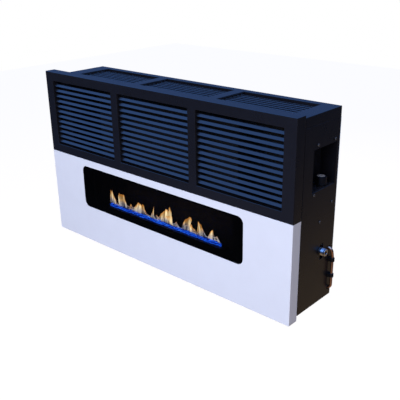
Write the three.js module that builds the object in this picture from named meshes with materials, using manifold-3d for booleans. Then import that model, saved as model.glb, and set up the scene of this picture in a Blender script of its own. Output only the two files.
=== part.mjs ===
// Wall mounted gas heater: a shallow sheet steel case with a louvred black fascia above, a white
// fascia with a long flame window below, and a hand recess with the gas control on its right side.
// Millimetres. X runs along the fascia, Y into the wall, Z up. While the pieces are shaped, the wall
// plane is y = 0 and the bottom of the fascia is z = 0; the finished group is then lowered so that
// its origin lies on the back, midway along the fascia and level with the wall screws.
import * as THREE from "three";
import { mergeVertices } from "three/addons/utils/BufferGeometryUtils.js";
import Module from "manifold-3d";

const wasm = await Module();
wasm.setup();

// ---- Driving dimensions ----

// The two fascias, which are trays that wrap back round their edges.
const fasciaWidth = 1000;
const fasciaHeight = 566;
const fasciaFlange = 36;
const lowerFasciaHeight = 293.5;
const overallDepth = 200;
const sheet = 1.5;
const thinSheet = 1.2;
const fit = 0.3;
const foldDepth = 16;
const lipWidth = 20;

// The case behind the fascias. It is narrower than they are on the left.
const caseLeftInset = 54;
const caseTopDrop = 6.5;
const caseBottomRise = 16;
const coverSkirt = 27.5;
const caseReturn = 18.5;
const panelTongue = 16;
const trayFlange = 12;

// The louvred bays of the front and the top.
const bayEdgeMargin = 37;
const bayPost = 29.5;
const bayTopRail = 29.4;
const bayBottomRail = 28.1;
const frontJambDepth = 17;
const topMarginLeft = 55;
const topMarginRight = 49;
const topPost = 34;
const topSideBayWidth = 252;
const topBayFront = 59;
const topBayDepth = 120;
const topJambDepth = 17;
const slatPitch = 17.25;
const slatRise = 7.5;
const slatInset = 4.5;
const slatDepth = 5;
const slatFlange = 4;
const firstSlat = 7.1;
const endStripInset = 2.4;
const endStripDepth = 14.4;
const topSlatPitch = 16.5;
const topSlatInset = 7.5;
const topSlatFall = 0.5;
const topSlatWidth = 13;
const topSlatHem = 2.5;
const topFirstSlat = 18;

// The window.
const windowWidth = 684;
const windowHeight = 144;
const windowRadius = 20;
const windowBottom = 126.8;
const glassThickness = 4;
const glassOverlap = 12;
const gasketThickness = 3;
const gasketWidth = 8;
const clampOverlap = 18;
const clampOpeningWidth = 600;
const clampOpeningHeight = 120;
const clampFoot = 30;

// The fire.
const fireboxWidth = 600;
const fireboxBottom = 100;
const fireboxTopDrop = 8.5;
const fireboxBack = 100;
const fireboxLip = 6;
const flueSlotWidth = 560;
const flueSlotFront = 50;
const flueSlotDepth = 40;
const burnerLength = 524;
const burnerDepth = 24;
const burnerHeight = 22.5;
const burnerTop = 143.5;
const burnerLine = 28;
const portLength = 36;
const portWidth = 5;
const portCount = 12;
const portPitch = 42;
const mixerRadius = 10;
const mixerHoleRadius = 11;
const mouthRadius = 15;
const flareLength = 14;
const saddleOffset = 200;
const saddleWidth = 22;
const saddleTopDrop = 11;
const supportOffset = 150;
const supportSetback = 5;
const supportWidth = 40;
const riserWidth = 570;
const riserFront = 46;
const riserDepth = 48;
const riserDrop = 109.5;
const baffleRise = 52;
const shieldLeftMargin = 46;
const shieldRightMargin = 80;
const shieldBottomMargin = 44;
const shieldTopMargin = 64.5;
const shieldStandOff = 27;

// The hand recess and the gas control in it.
const recessFront = 79;
const recessBack = 187;
const recessTopDrop = 97;
const recessHeight = 115;
const recessDepth = 44.5;
const knobRadius = 15.5;
const knobHeight = 22.5;
const knobWall = 3;
const knobEdge = 1.6;
const knobGrooveWidth = 1.6;
const knobGrooveDepth = 0.8;
const knobGrooveLength = 11.5;
const knobInset = 19.5;
const knobLine = 150;
const knobLift = 3.5;
const knobTravel = 3;
const hubRadius = 7.5;
const hubDrop = 15;
const spindleRadius = 4;
const spindleDepth = 32;
const rodLength = 16;
const springRadius = 6.5;
const springWire = 1.4;
const valveInset = 4;
const valveWidth = 54;
const valveFront = 132;
const valveBack = 176;
const valveHeight = 44.5;
const valveDrop = 14;
const valveBossRadius = 11;

// Gas connections.
const inletLine = 141.5;
const inletHeight = 169.5;
const inletThreadRadius = 10.5;
const inletTailRadius = 6.5;
const inletReach = 14;
const inletTail = 14;
const inletBore = 5;
const threadPitch = 1.8;
const threadDepth = 0.9;
const inletSlotWidth = 15;
const inletSlotBottom = 147;
const inletSlotTop = 192;
const locknutWidth = 22;
const locknutThickness = 8;
const inletPipeRadius = 6;
const inletPipeInset = 45;
const copperRadius = 4;
const copperStandOff = 8.5;
const copperLine = 188.5;
const copperExitLine = 181;
const copperExitHeight = 167;
const copperStraightHeight = 205;
const copperSideDrop = 27;
const copperReturnHeight = 40;
const copperValveInset = 30;
const copperValveLine = 166;
const copperHoleRadius = 6.5;
const copperBend = 12;
const crossoverInset = 60;
const injectorHeight = 132;
const injectorBody = 16;
const injectorGap = 54;
const nozzleRadius = 4;
const nozzleReach = 4;
const bracketFoot = 20;
const nutHeight = 12;
const nutWidth = 15;
const inletNutWidth = 18;
const supplyNutWidth = 13;
const clipHeight = 11;
const clipWall = 2;
const clipFoot = 3;
const upperClipHeight = 129.5;
const lowerClipHeight = 81;

// The pilot, its three leads and the screws.
const pilotLine = 54;
const thermocoupleX = 203;
const pilotX = 220;
const electrodeX = 237;
const pilotRadius = 3;
const pilotBore = 1.5;
const pilotHoodRadius = 5;
const pilotPlateHeight = 112;
const pilotPlateMargin = 8;
const pilotPlateDepth = 18;
const stemTopDrop = 4;
const pilotBoreDepth = 8;
const wireRadius = 1;
const wireRise = 9;
const wireReach = 9;
const stemDrop = 6;
const collarRadius = 4.5;
const collarHeight = 3;
const taperHeight = 2;
const leadRadius = 1.5;
const leadBend = 6;
const leadSlotMargin = 5;
const thermocoupleRunHeight = 68;
const thermocoupleEntryInset = 8;
const thermocoupleEntryRise = 22;
const pilotTubeRunHeight = 76;
const pilotTubeEntryInset = 22;
const pilotTubeEntryRise = 12;
const ignitionLeadRunHeight = 84;
const pilotTubeRadius = 2;
const leadTurnLine = 120;
const igniterRise = 7;
const igniterHeight = 32;
const igniterWidth = 18;
const igniterFront = 8;
const lowerScrewHeight = 150;
const upperScrewDrop = 116;
const frontSideScrewInset = 18;
const frontSideScrewRise = 10;
const backSideScrewInset = 10;
const backSideScrewRise = 9;
const lowerSideScrewInset = 9;
const lowerSideScrewDrop = 6;
const bracketScrewInset = 8;
const bracketScrewRise = 8.5;
const bracketScrewDrop = 33.5;
const screwRadius = 2;
const screwHeadRadius = 4;
const screwHeadHeight = 2.2;
const screwLength = 9;

// The wall fixing.
const keyholeSpacing = 600;
const keyholeTopDrop = 86;
const keyholeHead = 6.5;
const keyholeSlot = 2.6;
const keyholeDrop = 13;

// Openings in the bottom panel.
const ventGroupSpacing = 260;
const ventsInGroup = 7;
const ventPitch = 16;
const ventWidth = 6;
const ventLength = 80;

// ---- Planes that several pieces share ----

const left = -fasciaWidth / 2;
const right = fasciaWidth / 2;
const front = -overallDepth;
const fasciaBack = front + fasciaFlange;
const caseFront = fasciaBack + fit;
const caseLeft = left + caseLeftInset;
const caseRight = right;
const caseTop = fasciaHeight - caseTopDrop;
const caseBottom = caseBottomRise;
const skirtBottom = caseTop - coverSkirt;
const panelTop = skirtBottom - fit;
const panelBack = -sheet - fit;
const insideRight = caseRight - sheet - fit;
const insideLeft = caseLeft + sheet + fit;
const frontBayTop = fasciaHeight - bayTopRail;
const frontBayBottom = lowerFasciaHeight + bayBottomRail;
const keyholeHeight = fasciaHeight - keyholeTopDrop;
const windowCentre = windowBottom + windowHeight / 2;
const glassFront = front + sheet + fit;
const gasketFront = glassFront + glassThickness + fit;
const clampFront = gasketFront + gasketThickness + fit;
const fireboxFront = clampFront + sheet + fit;
const fireboxTop = lowerFasciaHeight - fireboxTopDrop;
const riserTop = caseTop - riserDrop;
const recessTop = fasciaHeight - recessTopDrop;
const recessBottom = recessTop - recessHeight;
const knobX = caseRight - knobInset;
const knobBottom = recessBottom + knobLift;
const valveRight = caseRight - valveInset;
const valveLeft = valveRight - valveWidth;
const valveTop = recessBottom - valveDrop;
const valveBottom = valveTop - valveHeight;
const inletPipeX = caseRight - inletPipeInset;
const copperValveX = caseRight - copperValveInset;
const crossoverX = caseRight - crossoverInset;
const fromFront = (distance) => front + distance;

// The side screws, each by its distance from the front and its height: two above the hand recess,
// one below it, and two that also hold the valve bracket.
const sideScrews = [
  [recessFront + frontSideScrewInset, recessTop + frontSideScrewRise],
  [recessBack - backSideScrewInset, recessTop + backSideScrewRise],
  [recessFront + lowerSideScrewInset, recessBottom - lowerSideScrewDrop],
  [recessBack - bracketScrewInset, valveBottom + bracketScrewRise],
  [valveFront - bracketScrewInset, valveBottom - bracketScrewDrop],
];
const fasciaScrewHeights = { upper: fasciaHeight - upperScrewDrop, lower: lowerScrewHeight };

// ---- Shapes ----

// A closed mesh as a solid: only its shared corners are kept, snapped to a fine grid so that
// faces meant to be flush with each other are exactly flush.
const gridSteps = 4096;
function solidFrom(geometry) {
  const bare = geometry.index ? geometry.toNonIndexed() : geometry.clone();
  bare.deleteAttribute("normal");
  bare.deleteAttribute("uv");
  const corners = bare.attributes.position.array;
  corners.forEach((value, i) => {
    corners[i] = Math.round(value * gridSteps) / gridSteps;
  });
  const merged = mergeVertices(bare, 1e-4);
  const triVerts = new Uint32Array(merged.index.array);
  return closed(merged.attributes.position.array, triVerts);
}

function closed(vertProperties, triVerts) {
  return new wasm.Manifold(new wasm.Mesh({ numProp: 3, vertProperties, triVerts }));
}

function block([x0, x1], [y0, y1], [z0, z1]) {
  const box = new THREE.BoxGeometry(x1 - x0, y1 - y0, z1 - z0);
  box.translate((x0 + x1) / 2, (y0 + y1) / 2, (z0 + z1) / 2);
  return solidFrom(box);
}

function join(...solids) {
  return solids.reduce((whole, next) => whole.add(next));
}

// A round bar along one axis, through a point in the plane across it.
function bar(axis, [a, b], [from, to], radius, sides = 24) {
  const cylinder = new THREE.CylinderGeometry(radius, radius, to - from, sides);
  cylinder.translate(0, (from + to) / 2, 0);
  if (axis === "x") cylinder.rotateZ(-Math.PI / 2).translate(0, a, b);
  if (axis === "y") cylinder.translate(a, 0, b);
  if (axis === "z") cylinder.rotateX(Math.PI / 2).translate(a, b, 0);
  return solidFrom(cylinder);
}

// A turned piece on a vertical axis: its profile lists [radius, height] from bottom to top.
function turned(profile, [x, y], sides = 32) {
  const points = profile.map(([radius, height]) => new THREE.Vector2(radius, height));
  const lathe = new THREE.LatheGeometry(points, sides);
  lathe.rotateX(Math.PI / 2).translate(x, y, 0);
  return solidFrom(lathe);
}

// The same on an axis along X: its profile lists [radius, x] in rising x.
function turnedAlongX(profile, [y, z], sides = 32) {
  const points = profile.map(([radius, along]) => new THREE.Vector2(radius, along));
  const lathe = new THREE.LatheGeometry(points, sides);
  lathe.rotateZ(-Math.PI / 2).translate(0, y, z);
  return solidFrom(lathe);
}

// An upright plate with round corners, facing the room, centred on x and z.
function roundedPlate(width, height, radius, [y0, y1], [x, z]) {
  const shape = new THREE.Shape();
  const [w, h] = [width / 2, height / 2];
  shape.moveTo(-w + radius, -h);
  shape.lineTo(w - radius, -h);
  shape.absarc(w - radius, -h + radius, radius, -Math.PI / 2, 0);
  shape.absarc(w - radius, h - radius, radius, 0, Math.PI / 2);
  shape.absarc(-w + radius, h - radius, radius, Math.PI / 2, Math.PI);
  shape.absarc(-w + radius, -h + radius, radius, Math.PI, Math.PI * 1.5);
  const plate = new THREE.ExtrudeGeometry(shape, {
    depth: y1 - y0,
    bevelEnabled: false,
    curveSegments: 8,
  });
  plate.rotateX(Math.PI / 2).translate(x, y1, z);
  return solidFrom(plate);
}

// A bar along one axis whose section is a list of corners: [y, z] for x, [x, z] for y and [x, y]
// for z.
function prism(axis, section, [from, to]) {
  const shape = new THREE.Shape(section.map(([a, b]) => new THREE.Vector2(a, b)));
  const long = new THREE.ExtrudeGeometry(shape, { depth: to - from, bevelEnabled: false });
  long.translate(0, 0, axis === "y" ? -to : from);
  if (axis === "x") long.rotateZ(Math.PI / 2).rotateY(Math.PI / 2);
  if (axis === "y") long.rotateX(Math.PI / 2);
  return solidFrom(long);
}

function hexagon(axis, centre, range, acrossFlats) {
  return bar(axis, centre, range, acrossFlats / Math.sqrt(3), 6);
}

// The same range, longer at both ends.
const past = ([from, to], by = 1) => [from - by, to + by];
const within = ([from, to], by) => past([from, to], -by);

// A rectangular tube along z.
function sleeve(x, y, z, wall) {
  return block(x, y, z).subtract(block(within(x, wall), within(y, wall), past(z)));
}

// A path of straight runs whose corners are rounded to one bend radius.
function bentPath(corners, bend) {
  const points = corners.map((corner) => new THREE.Vector3(...corner));
  const path = new THREE.CurvePath();
  let start = points[0];
  for (let i = 1; i < points.length - 1; i += 1) {
    const into = points[i].clone().sub(points[i - 1]).normalize();
    const out = points[i + 1].clone().sub(points[i]).normalize();
    const trim = bend * Math.tan(into.angleTo(out) / 2);
    const enter = points[i].clone().addScaledVector(into, -trim);
    const leave = points[i].clone().addScaledVector(out, trim);
    path.add(new THREE.LineCurve3(start, enter));
    path.add(new THREE.QuadraticBezierCurve3(enter, points[i].clone(), leave));
    start = leave;
  }
  path.add(new THREE.LineCurve3(start, points[points.length - 1]));
  return path;
}

// A bent path as a list of stops: the ends of its straight runs and five points in each bend.
class StopList extends THREE.Curve {
  constructor(corners, bend) {
    super();
    this.stops = [];
    for (const run of bentPath(corners, bend).curves) {
      const steps = run.isLineCurve3 ? 1 : 5;
      for (let i = this.stops.length ? 1 : 0; i <= steps; i += 1) {
        this.stops.push(run.getPoint(i / steps));
      }
    }
  }

  getPointAt(share) {
    return this.stops[Math.round(share * (this.stops.length - 1))].clone();
  }

  getTangentAt(share) {
    const here = Math.round(share * (this.stops.length - 1));
    const tangent = new THREE.Vector3();
    for (const i of [here - 1, here]) {
      if (i < 0 || i + 1 >= this.stops.length) continue;
      tangent.add(this.stops[i + 1].clone().sub(this.stops[i]).normalize());
    }
    return tangent.normalize();
  }
}

// A round tube or wire along a bent path.
function tubeAlong(corners, radius, bend, sides = 10) {
  const route = new StopList(corners, bend);
  const section = new THREE.Shape();
  for (let k = 0; k < sides; k += 1) {
    const turn = (2 * Math.PI * k) / sides;
    const corner = [radius * Math.cos(turn), radius * Math.sin(turn)];
    if (k === 0) section.moveTo(...corner);
    else section.lineTo(...corner);
  }
  const steps = route.stops.length - 1;
  return solidFrom(new THREE.ExtrudeGeometry(section, { extrudePath: route, steps, bevelEnabled: false }));
}

// ---- Materials ----

const finish = (color, roughness, metalness) =>
  new THREE.MeshStandardMaterial({ color, roughness, metalness });
const blackPaint = finish(0x1c1c22, 0.42, 0.1);
const whitePaint = finish(0xe6e8f2, 0.35, 0.0);
const blackGlass = finish(0x050507, 0.06, 0.0);
const bareSteel = finish(0x9a9da1, 0.45, 0.85);
const blackenedSteel = finish(0x2a2a2c, 0.6, 0.6);
const nickel = finish(0xb9bdc4, 0.22, 1.0);
const copper = finish(0xb8714a, 0.35, 1.0);
const brass = finish(0xb8934a, 0.35, 1.0);
const blackPlastic = finish(0x141417, 0.5, 0.0);
const ceramic = finish(0xe9e6dc, 0.5, 0.0);
const ropeSeal = finish(0x3a3936, 0.95, 0.0);

const heater = new THREE.Group();

// Adds one finished solid to the heater as a named mesh.
function place(name, solid, material) {
  const { vertProperties, triVerts, numProp } = solid.getMesh();
  const positions = new Float32Array(triVerts.length * 3);
  triVerts.forEach((vertex, i) => {
    for (let k = 0; k < 3; k += 1) positions[i * 3 + k] = vertProperties[vertex * numProp + k];
  });
  const geometry = new THREE.BufferGeometry();
  geometry.setAttribute("position", new THREE.BufferAttribute(positions, 3));
  geometry.computeVertexNormals();
  const mesh = new THREE.Mesh(geometry, material);
  mesh.name = name;
  heater.add(mesh);
  return mesh;
}

// ---- Fascias ----

// Three equal bays between an edge margin at each end and two posts.
const frontBayWidth = (fasciaWidth - 2 * bayEdgeMargin - 2 * bayPost) / 3;
const frontBays = [0, 1, 2].map((i) => {
  const start = left + bayEdgeMargin + i * (frontBayWidth + bayPost);
  return [start, start + frontBayWidth];
});

// A fascia is a tray, folded back round its edges and inward again at the sides and at one long
// edge, where the case is screwed to it. The edge where the two fascias meet has only a short fold.
// Stiffeners are blocks that stay solid inside it.
function fasciaTray([bottom, top], foldAtTop, stiffeners) {
  const [foldEdge, lipEdge] = foldAtTop ? [top, bottom] : [bottom, top];
  const inward = foldAtTop ? -1 : 1;
  const lipBack = fasciaBack - sheet;
  const hollow = [
    [front + sheet, foldEdge + inward * sheet],
    [front + foldDepth, foldEdge + inward * sheet],
    [front + foldDepth, foldEdge - inward],
    [lipBack, foldEdge - inward],
    [lipBack, lipEdge - inward * sheet],
    [front + sheet, lipEdge - inward * sheet],
  ];
  const inside = prism("x", hollow, [left + sheet, right - sheet]);
  const backOpening = block(
    [caseLeft + lipWidth, right - lipWidth],
    [front + foldDepth + 1, fasciaBack + 1],
    [foldEdge - 2 * inward, lipEdge - inward * lipWidth].sort((a, b) => a - b),
  );
  return block([left, right], [front, fasciaBack], [bottom, top])
    .subtract(stiffeners.reduce((cavity, solid) => cavity.subtract(solid), inside))
    .subtract(backOpening);
}

const fasciaScrewXs = [caseLeft + lipWidth / 2, right - lipWidth / 2];
function fasciaScrewHoles(height) {
  const through = [fasciaBack - sheet - 1, caseFront + sheet + 1];
  return join(
    ...fasciaScrewXs.map((x) => bar("y", [x, height], through, screwRadius + fit, 16)),
  );
}

// Black upper fascia, with three bays whose edges turn inward as jambs.
function upperFascia() {
  const jamb = [front - 1, front + frontJambDepth];
  const bayZ = [frontBayBottom, frontBayTop];
  const jambs = frontBays.map((x) => block(past(x, sheet), jamb, past(bayZ, sheet)));
  const tray = fasciaTray([lowerFasciaHeight + fit / 2, fasciaHeight], false, jambs);
  const openings = frontBays.map((x) => block(x, past(jamb), bayZ));
  return openings
    .reduce((cut, opening) => cut.subtract(opening), tray)
    .subtract(fasciaScrewHoles(fasciaScrewHeights.upper));
}

// White lower fascia, with one long round-cornered window.
function lowerFascia() {
  const cut = [front - 1, front + sheet + 1];
  return fasciaTray([0, lowerFasciaHeight - fit / 2], true, [])
    .subtract(roundedPlate(windowWidth, windowHeight, windowRadius, cut, [0, windowCentre]))
    .subtract(fasciaScrewHoles(fasciaScrewHeights.lower));
}

place("upper_fascia", upperFascia(), blackPaint);
place("lower_fascia", lowerFascia(), whitePaint);

// ---- Louvres ----

// A louvre insert in its own frame: its face is y = 0, it lies between x = 0 and its width, and
// each slat is given by its section. Two end strips carry the slats.
function louvre(width, height, sections) {
  const strip = [endStripInset, endStripInset + endStripDepth];
  const ends = join(
    block([0, thinSheet], strip, [0, height]),
    block([width - thinSheet, width], strip, [0, height]),
  );
  const slats = sections.map((section) => prism("x", section, within([0, width], thinSheet / 2)));
  return join(ends, ...slats);
}

// The sections of as many slats as fit a bay, each started one pitch after the last.
function slatRow(room, first, pitch, reach, section) {
  const count = Math.floor((room - first - reach) / pitch) + 1;
  return Array.from({ length: count }, (_, i) => section(first + i * pitch));
}

// A front slat slopes steeply up and back, and its inner edge is turned level.
const frontSlat = (z) => [
  [slatInset, z],
  [slatInset + thinSheet, z],
  [slatInset + slatDepth + thinSheet / 2, z + slatRise - thinSheet],
  [slatInset + slatDepth + slatFlange, z + slatRise - thinSheet],
  [slatInset + slatDepth + slatFlange, z + slatRise],
  [slatInset + slatDepth, z + slatRise],
];

// A top slat falls from its outer edge, which is the one nearer the wall and is turned up.
const topSlat = (z) => [
  [topSlatInset - topSlatHem, z],
  [topSlatInset + thinSheet, z],
  [topSlatInset + thinSheet + topSlatFall, z + topSlatWidth],
  [topSlatInset + topSlatFall, z + topSlatWidth],
  [topSlatInset, z + thinSheet],
  [topSlatInset - topSlatHem, z + thinSheet],
];

const sides = ["left", "centre", "right"];
const frontRoom = frontBayTop - frontBayBottom - 2 * fit;
const frontSlats = slatRow(frontRoom, firstSlat, slatPitch, slatRise, frontSlat);
frontBays.forEach(([x0, x1], i) => {
  const insert = louvre(x1 - x0 - 2 * fit, frontRoom, frontSlats);
  const mesh = place(`front_louvre_${sides[i]}`, insert, blackPaint);
  mesh.position.set(x0 + fit, front, frontBayBottom + fit);
});

// The top bays: the middle one takes what the margins, posts and side bays leave.
const topBays = [
  [caseLeft + topMarginLeft, caseLeft + topMarginLeft + topSideBayWidth],
  [
    caseLeft + topMarginLeft + topSideBayWidth + topPost,
    caseRight - topMarginRight - topSideBayWidth - topPost,
  ],
  [caseRight - topMarginRight - topSideBayWidth, caseRight - topMarginRight],
];
const topBayY = [fromFront(topBayFront), fromFront(topBayFront + topBayDepth)];

// The top inserts lie flat, and their slats are counted forward from the wall.
const topRoom = topBayDepth - 2 * fit;
const topSlats = slatRow(topRoom, topFirstSlat, topSlatPitch, topSlatWidth, topSlat);
topBays.forEach(([x0, x1], i) => {
  const insert = louvre(x1 - x0 - 2 * fit, topRoom, topSlats);
  const mesh = place(`top_louvre_${sides[i]}`, insert, blackPaint);
  mesh.rotation.set(-Math.PI / 2, 0, Math.PI, "ZYX");
  mesh.position.set(x1 - fit, topBayY[1] - fit, caseTop);
});

// ---- Case ----

// Top cover: a lid with a skirt all round and three bays with turned-in edges.
function topCover() {
  const jamb = [caseTop - topJambDepth, caseTop + 1];
  let inside = block(
    [caseLeft + sheet, caseRight - sheet],
    [caseFront + sheet, -sheet],
    [skirtBottom - 1, caseTop - sheet],
  );
  for (const x of topBays) {
    inside = inside.subtract(block(past(x, sheet), past(topBayY, sheet), jamb));
  }
  let cover = block([caseLeft, caseRight], [caseFront, 0], [skirtBottom, caseTop]).subtract(inside);
  for (const x of topBays) cover = cover.subtract(block(x, topBayY, past(jamb)));
  return cover;
}

// A side panel without its openings: a flat sheet with a return at each end and a raised tongue
// behind the skirt of the cover. inward is -1 on the right side and 1 on the left.
function sidePanel(outer, inward) {
  const at = (distance) => outer + inward * distance;
  const span = (a, b) => [at(a), at(b)].sort((p, q) => p - q);
  const tall = [caseBottom, panelTop];
  const y = [caseFront, panelBack];
  const tongue = [
    [at(sheet / 2), panelTop - panelTongue],
    [at(2 * sheet + fit), panelTop - panelTongue],
    [at(2 * sheet + fit), panelTop + panelTongue],
    [at(sheet + fit), panelTop + panelTongue],
    [at(sheet + fit), panelTop - sheet],
    [at(sheet / 2), panelTop - sheet],
  ];
  return block(span(0, caseReturn), y, tall)
    .subtract(block(span(sheet, caseReturn + 1), within(y, sheet), past(tall)))
    .add(prism("y", tongue, topBayY));
}

function caseScrewHoles() {
  return join(
    ...Object.values(fasciaScrewHeights).map((height) => fasciaScrewHoles(height)),
  );
}

// The holes for the side screws, through the panel and what it is screwed to.
function sideScrewHoles() {
  const through = [insideRight - sheet - 1, caseRight + 1];
  const hole = ([line, z]) => bar("x", [fromFront(line), z], through, screwRadius + fit, 16);
  return join(...sideScrews.map(hole));
}

function rightPanel() {
  const through = [caseRight - sheet - 1, caseRight + 1];
  const recessY = [fromFront(recessFront), fromFront(recessBack)];
  const slotY = past([fromFront(inletLine), fromFront(inletLine)], inletSlotWidth / 2);
  return sidePanel(caseRight, -1)
    .subtract(block(through, recessY, [recessBottom + fit, recessTop]))
    .subtract(block(through, slotY, [inletSlotBottom, inletSlotTop]))
    .subtract(bar("x", [fromFront(copperExitLine), copperExitHeight], through, copperHoleRadius))
    .subtract(bar("x", [fromFront(copperLine), copperReturnHeight], through, copperHoleRadius))
    .subtract(sideScrewHoles())
    .subtract(caseScrewHoles());
}

// Bottom panel: a shallow tray between the side panels, with three groups of air slots.
function bottomPanel() {
  const x = [insideLeft, insideRight];
  const y = within([caseFront, panelBack], sheet + fit);
  const tall = [caseBottom, caseBottom + trayFlange];
  const inside = block(within(x, sheet), within(y, sheet), [caseBottom + sheet, tall[1] + 1]);
  let tray = block(x, y, tall).subtract(inside);
  const middle = (y[0] + y[1]) / 2;
  for (let group = -1; group <= 1; group += 1) {
    for (let i = 0; i < ventsInGroup; i += 1) {
      const slotX = group * ventGroupSpacing + (i - (ventsInGroup - 1) / 2) * ventPitch;
      const slot = block(
        past([slotX, slotX], ventWidth / 2),
        past([middle, middle], ventLength / 2),
        past([caseBottom, caseBottom + sheet]),
      );
      tray = tray.subtract(slot);
    }
  }
  return tray;
}

// A keyhole through the rear panel: a round head below a narrow slot for the wall screw.
function keyhole(x) {
  const neck = Math.asin(keyholeSlot / keyholeHead);
  const shape = new THREE.Shape();
  shape.absarc(0, -keyholeDrop, keyholeHead, Math.PI / 2 + neck, Math.PI * 2.5 - neck);
  shape.absarc(0, 0, keyholeSlot, 0, Math.PI);
  const hole = new THREE.ExtrudeGeometry(shape, {
    depth: sheet + 2,
    bevelEnabled: false,
    curveSegments: 10,
  });
  hole.rotateX(Math.PI / 2).translate(x, 1, keyholeHeight);
  return solidFrom(hole);
}

// Rear panel: a flat sheet against the wall with two keyholes.
function rearPanel() {
  const middle = (caseLeft + caseRight) / 2;
  return block([caseLeft, caseRight], [-sheet, 0], [caseBottom, panelTop])
    .subtract(keyhole(middle - keyholeSpacing / 2))
    .subtract(keyhole(middle + keyholeSpacing / 2));
}

place("top_cover", topCover(), blackPaint);
place("side_panel_left", sidePanel(caseLeft, 1).subtract(caseScrewHoles()), blackPaint);
place("side_panel_right", rightPanel(), blackPaint);
place("bottom_panel", bottomPanel(), blackPaint);
place("rear_panel", rearPanel(), bareSteel);

// ---- Window ----

// Glass behind the window, a rope seal round it, and a clamp frame with feet on the fascia.
function windowPlate(extraWidth, thickness, start) {
  const radius = windowRadius + extraWidth;
  const [w, h] = [windowWidth + 2 * extraWidth, windowHeight + 2 * extraWidth];
  return roundedPlate(w, h, radius, [start, start + thickness], [0, windowCentre]);
}

function glassGasket() {
  const inner = windowPlate(glassOverlap - gasketWidth - 1, gasketThickness + 2, gasketFront - 1);
  return windowPlate(glassOverlap - 1, gasketThickness, gasketFront).subtract(inner);
}

function glassClamp() {
  const opening = [clampFront - 1, clampFront + sheet + 1];
  let frame = windowPlate(clampOverlap, sheet, clampFront);
  frame = frame.subtract(
    roundedPlate(clampOpeningWidth, clampOpeningHeight, windowRadius, opening, [0, windowCentre]),
  );
  const footBack = clampFront + sheet;
  const top = windowCentre + windowHeight / 2 + clampOverlap;
  const bottom = windowCentre - windowHeight / 2 - clampOverlap;
  for (const x of [-windowWidth / 3, 0, windowWidth / 3]) {
    const wide = [x - clampFoot / 2, x + clampFoot / 2];
    frame = frame.add(block(wide, [front + sheet + fit, footBack], [top - sheet, top]));
    frame = frame.add(block(wide, [front + sheet + fit, footBack], [bottom, bottom + sheet]));
  }
  return frame;
}

place("window_glass", windowPlate(glassOverlap, glassThickness, glassFront), blackGlass);
place("glass_gasket", glassGasket(), ropeSeal);
place("glass_clamp_frame", glassClamp(), blackenedSteel);

// ---- Firebox and air path ----

const burnerY = fromFront(burnerLine);
const fireboxX = [-fireboxWidth / 2, fireboxWidth / 2];
const fireboxY = [fireboxFront, fromFront(fireboxBack)];

// A box with a flange round its mouth: the flange is what stays when the block that holds both is
// cut away round the body, up to the flange.
function flanged(whole, around, body) {
  return whole.subtract(around.subtract(body));
}

// Firebox: an open-fronted steel box with a flue slot in its top.
function firebox() {
  const z = [fireboxBottom, fireboxTop];
  const flangeX = past(fireboxX, fireboxLip);
  const flangeZ = past(z, fireboxLip);
  const behind = [fireboxFront + sheet, fireboxY[1] + 1];
  const shell = flanged(
    block(flangeX, fireboxY, flangeZ),
    block(past(flangeX), behind, past(flangeZ)),
    block(fireboxX, past(behind), z),
  );
  const inside = block(
    within(fireboxX, sheet),
    [fireboxFront - 1, fireboxY[1] - sheet],
    within(z, sheet),
  );
  const flue = block(
    past([0, 0], flueSlotWidth / 2),
    [fromFront(flueSlotFront), fromFront(flueSlotFront + flueSlotDepth)],
    past([fireboxTop - sheet, fireboxTop]),
  );
  const leadSlot = block(
    past([thermocoupleX, electrodeX], leadSlotMargin),
    past([fromFront(pilotLine), fromFront(pilotLine)], leadSlotMargin),
    past([fireboxBottom, fireboxBottom + sheet]),
  );
  const side = past([fireboxX[1] - sheet, fireboxX[1]]);
  const mixer = bar("x", [burnerY, injectorHeight], side, mixerHoleRadius);
  return shell.subtract(inside).subtract(flue).subtract(leadSlot).subtract(mixer);
}

// A support under the firebox: a square tube standing on the bottom panel.
function fireboxSupport(x) {
  return sleeve(
    past([x, x], supportWidth / 2),
    [caseFront + sheet + supportSetback, fireboxY[1] - sheet],
    [caseBottom + sheet + fit, fireboxBottom - fit],
    sheet,
  );
}

// The riser leads the hot gas from the flue slot up behind the louvres.
function heatRiser() {
  return sleeve(
    past([0, 0], riserWidth / 2),
    [fromFront(riserFront), fromFront(riserFront + riserDepth)],
    [fireboxTop + fit, riserTop],
    thinSheet,
  );
}

// The baffle is a hood that leans forward over the riser, between two cheeks, and turns the hot
// air to the room.
function heatBaffle() {
  const y = [fromFront(riserFront), fromFront(riserFront + riserDepth)];
  const half = riserWidth / 2 + fit + thinSheet;
  const low = riserTop - lipWidth;
  const slope = (baffleRise - fit) / (y[1] - y[0]);
  const under = (line) => riserTop + fit + (y[1] - line) * slope;
  const outside = [
    [y[0], low],
    [y[1], low],
    [y[1], under(y[1]) + 2 * thinSheet],
    [y[0], under(y[0]) + 2 * thinSheet],
  ];
  const inside = [
    [y[0] - 1, low - 1],
    [y[1] + 1, low - 1],
    [y[1] + 1, under(y[1] + 1)],
    [y[0] - 1, under(y[0] - 1)],
  ];
  return prism("x", outside, [-half, half])
    .subtract(prism("x", inside, [-half + thinSheet, half - thinSheet]));
}

// The heat shield keeps the back of the case, and so the wall, cool.
function heatShield() {
  const y = [-2 * sheet - shieldStandOff, -sheet - fit];
  const x = [caseLeft + shieldLeftMargin, caseRight - shieldRightMargin];
  const z = [caseBottom + shieldBottomMargin, caseTop - shieldTopMargin];
  return block(x, y, z)
    .subtract(block(within(x, sheet), within(y, sheet), past(z)))
    .subtract(block(within(x, lipWidth), [y[0] + 2 * sheet, 0], past(z)));
}

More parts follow.
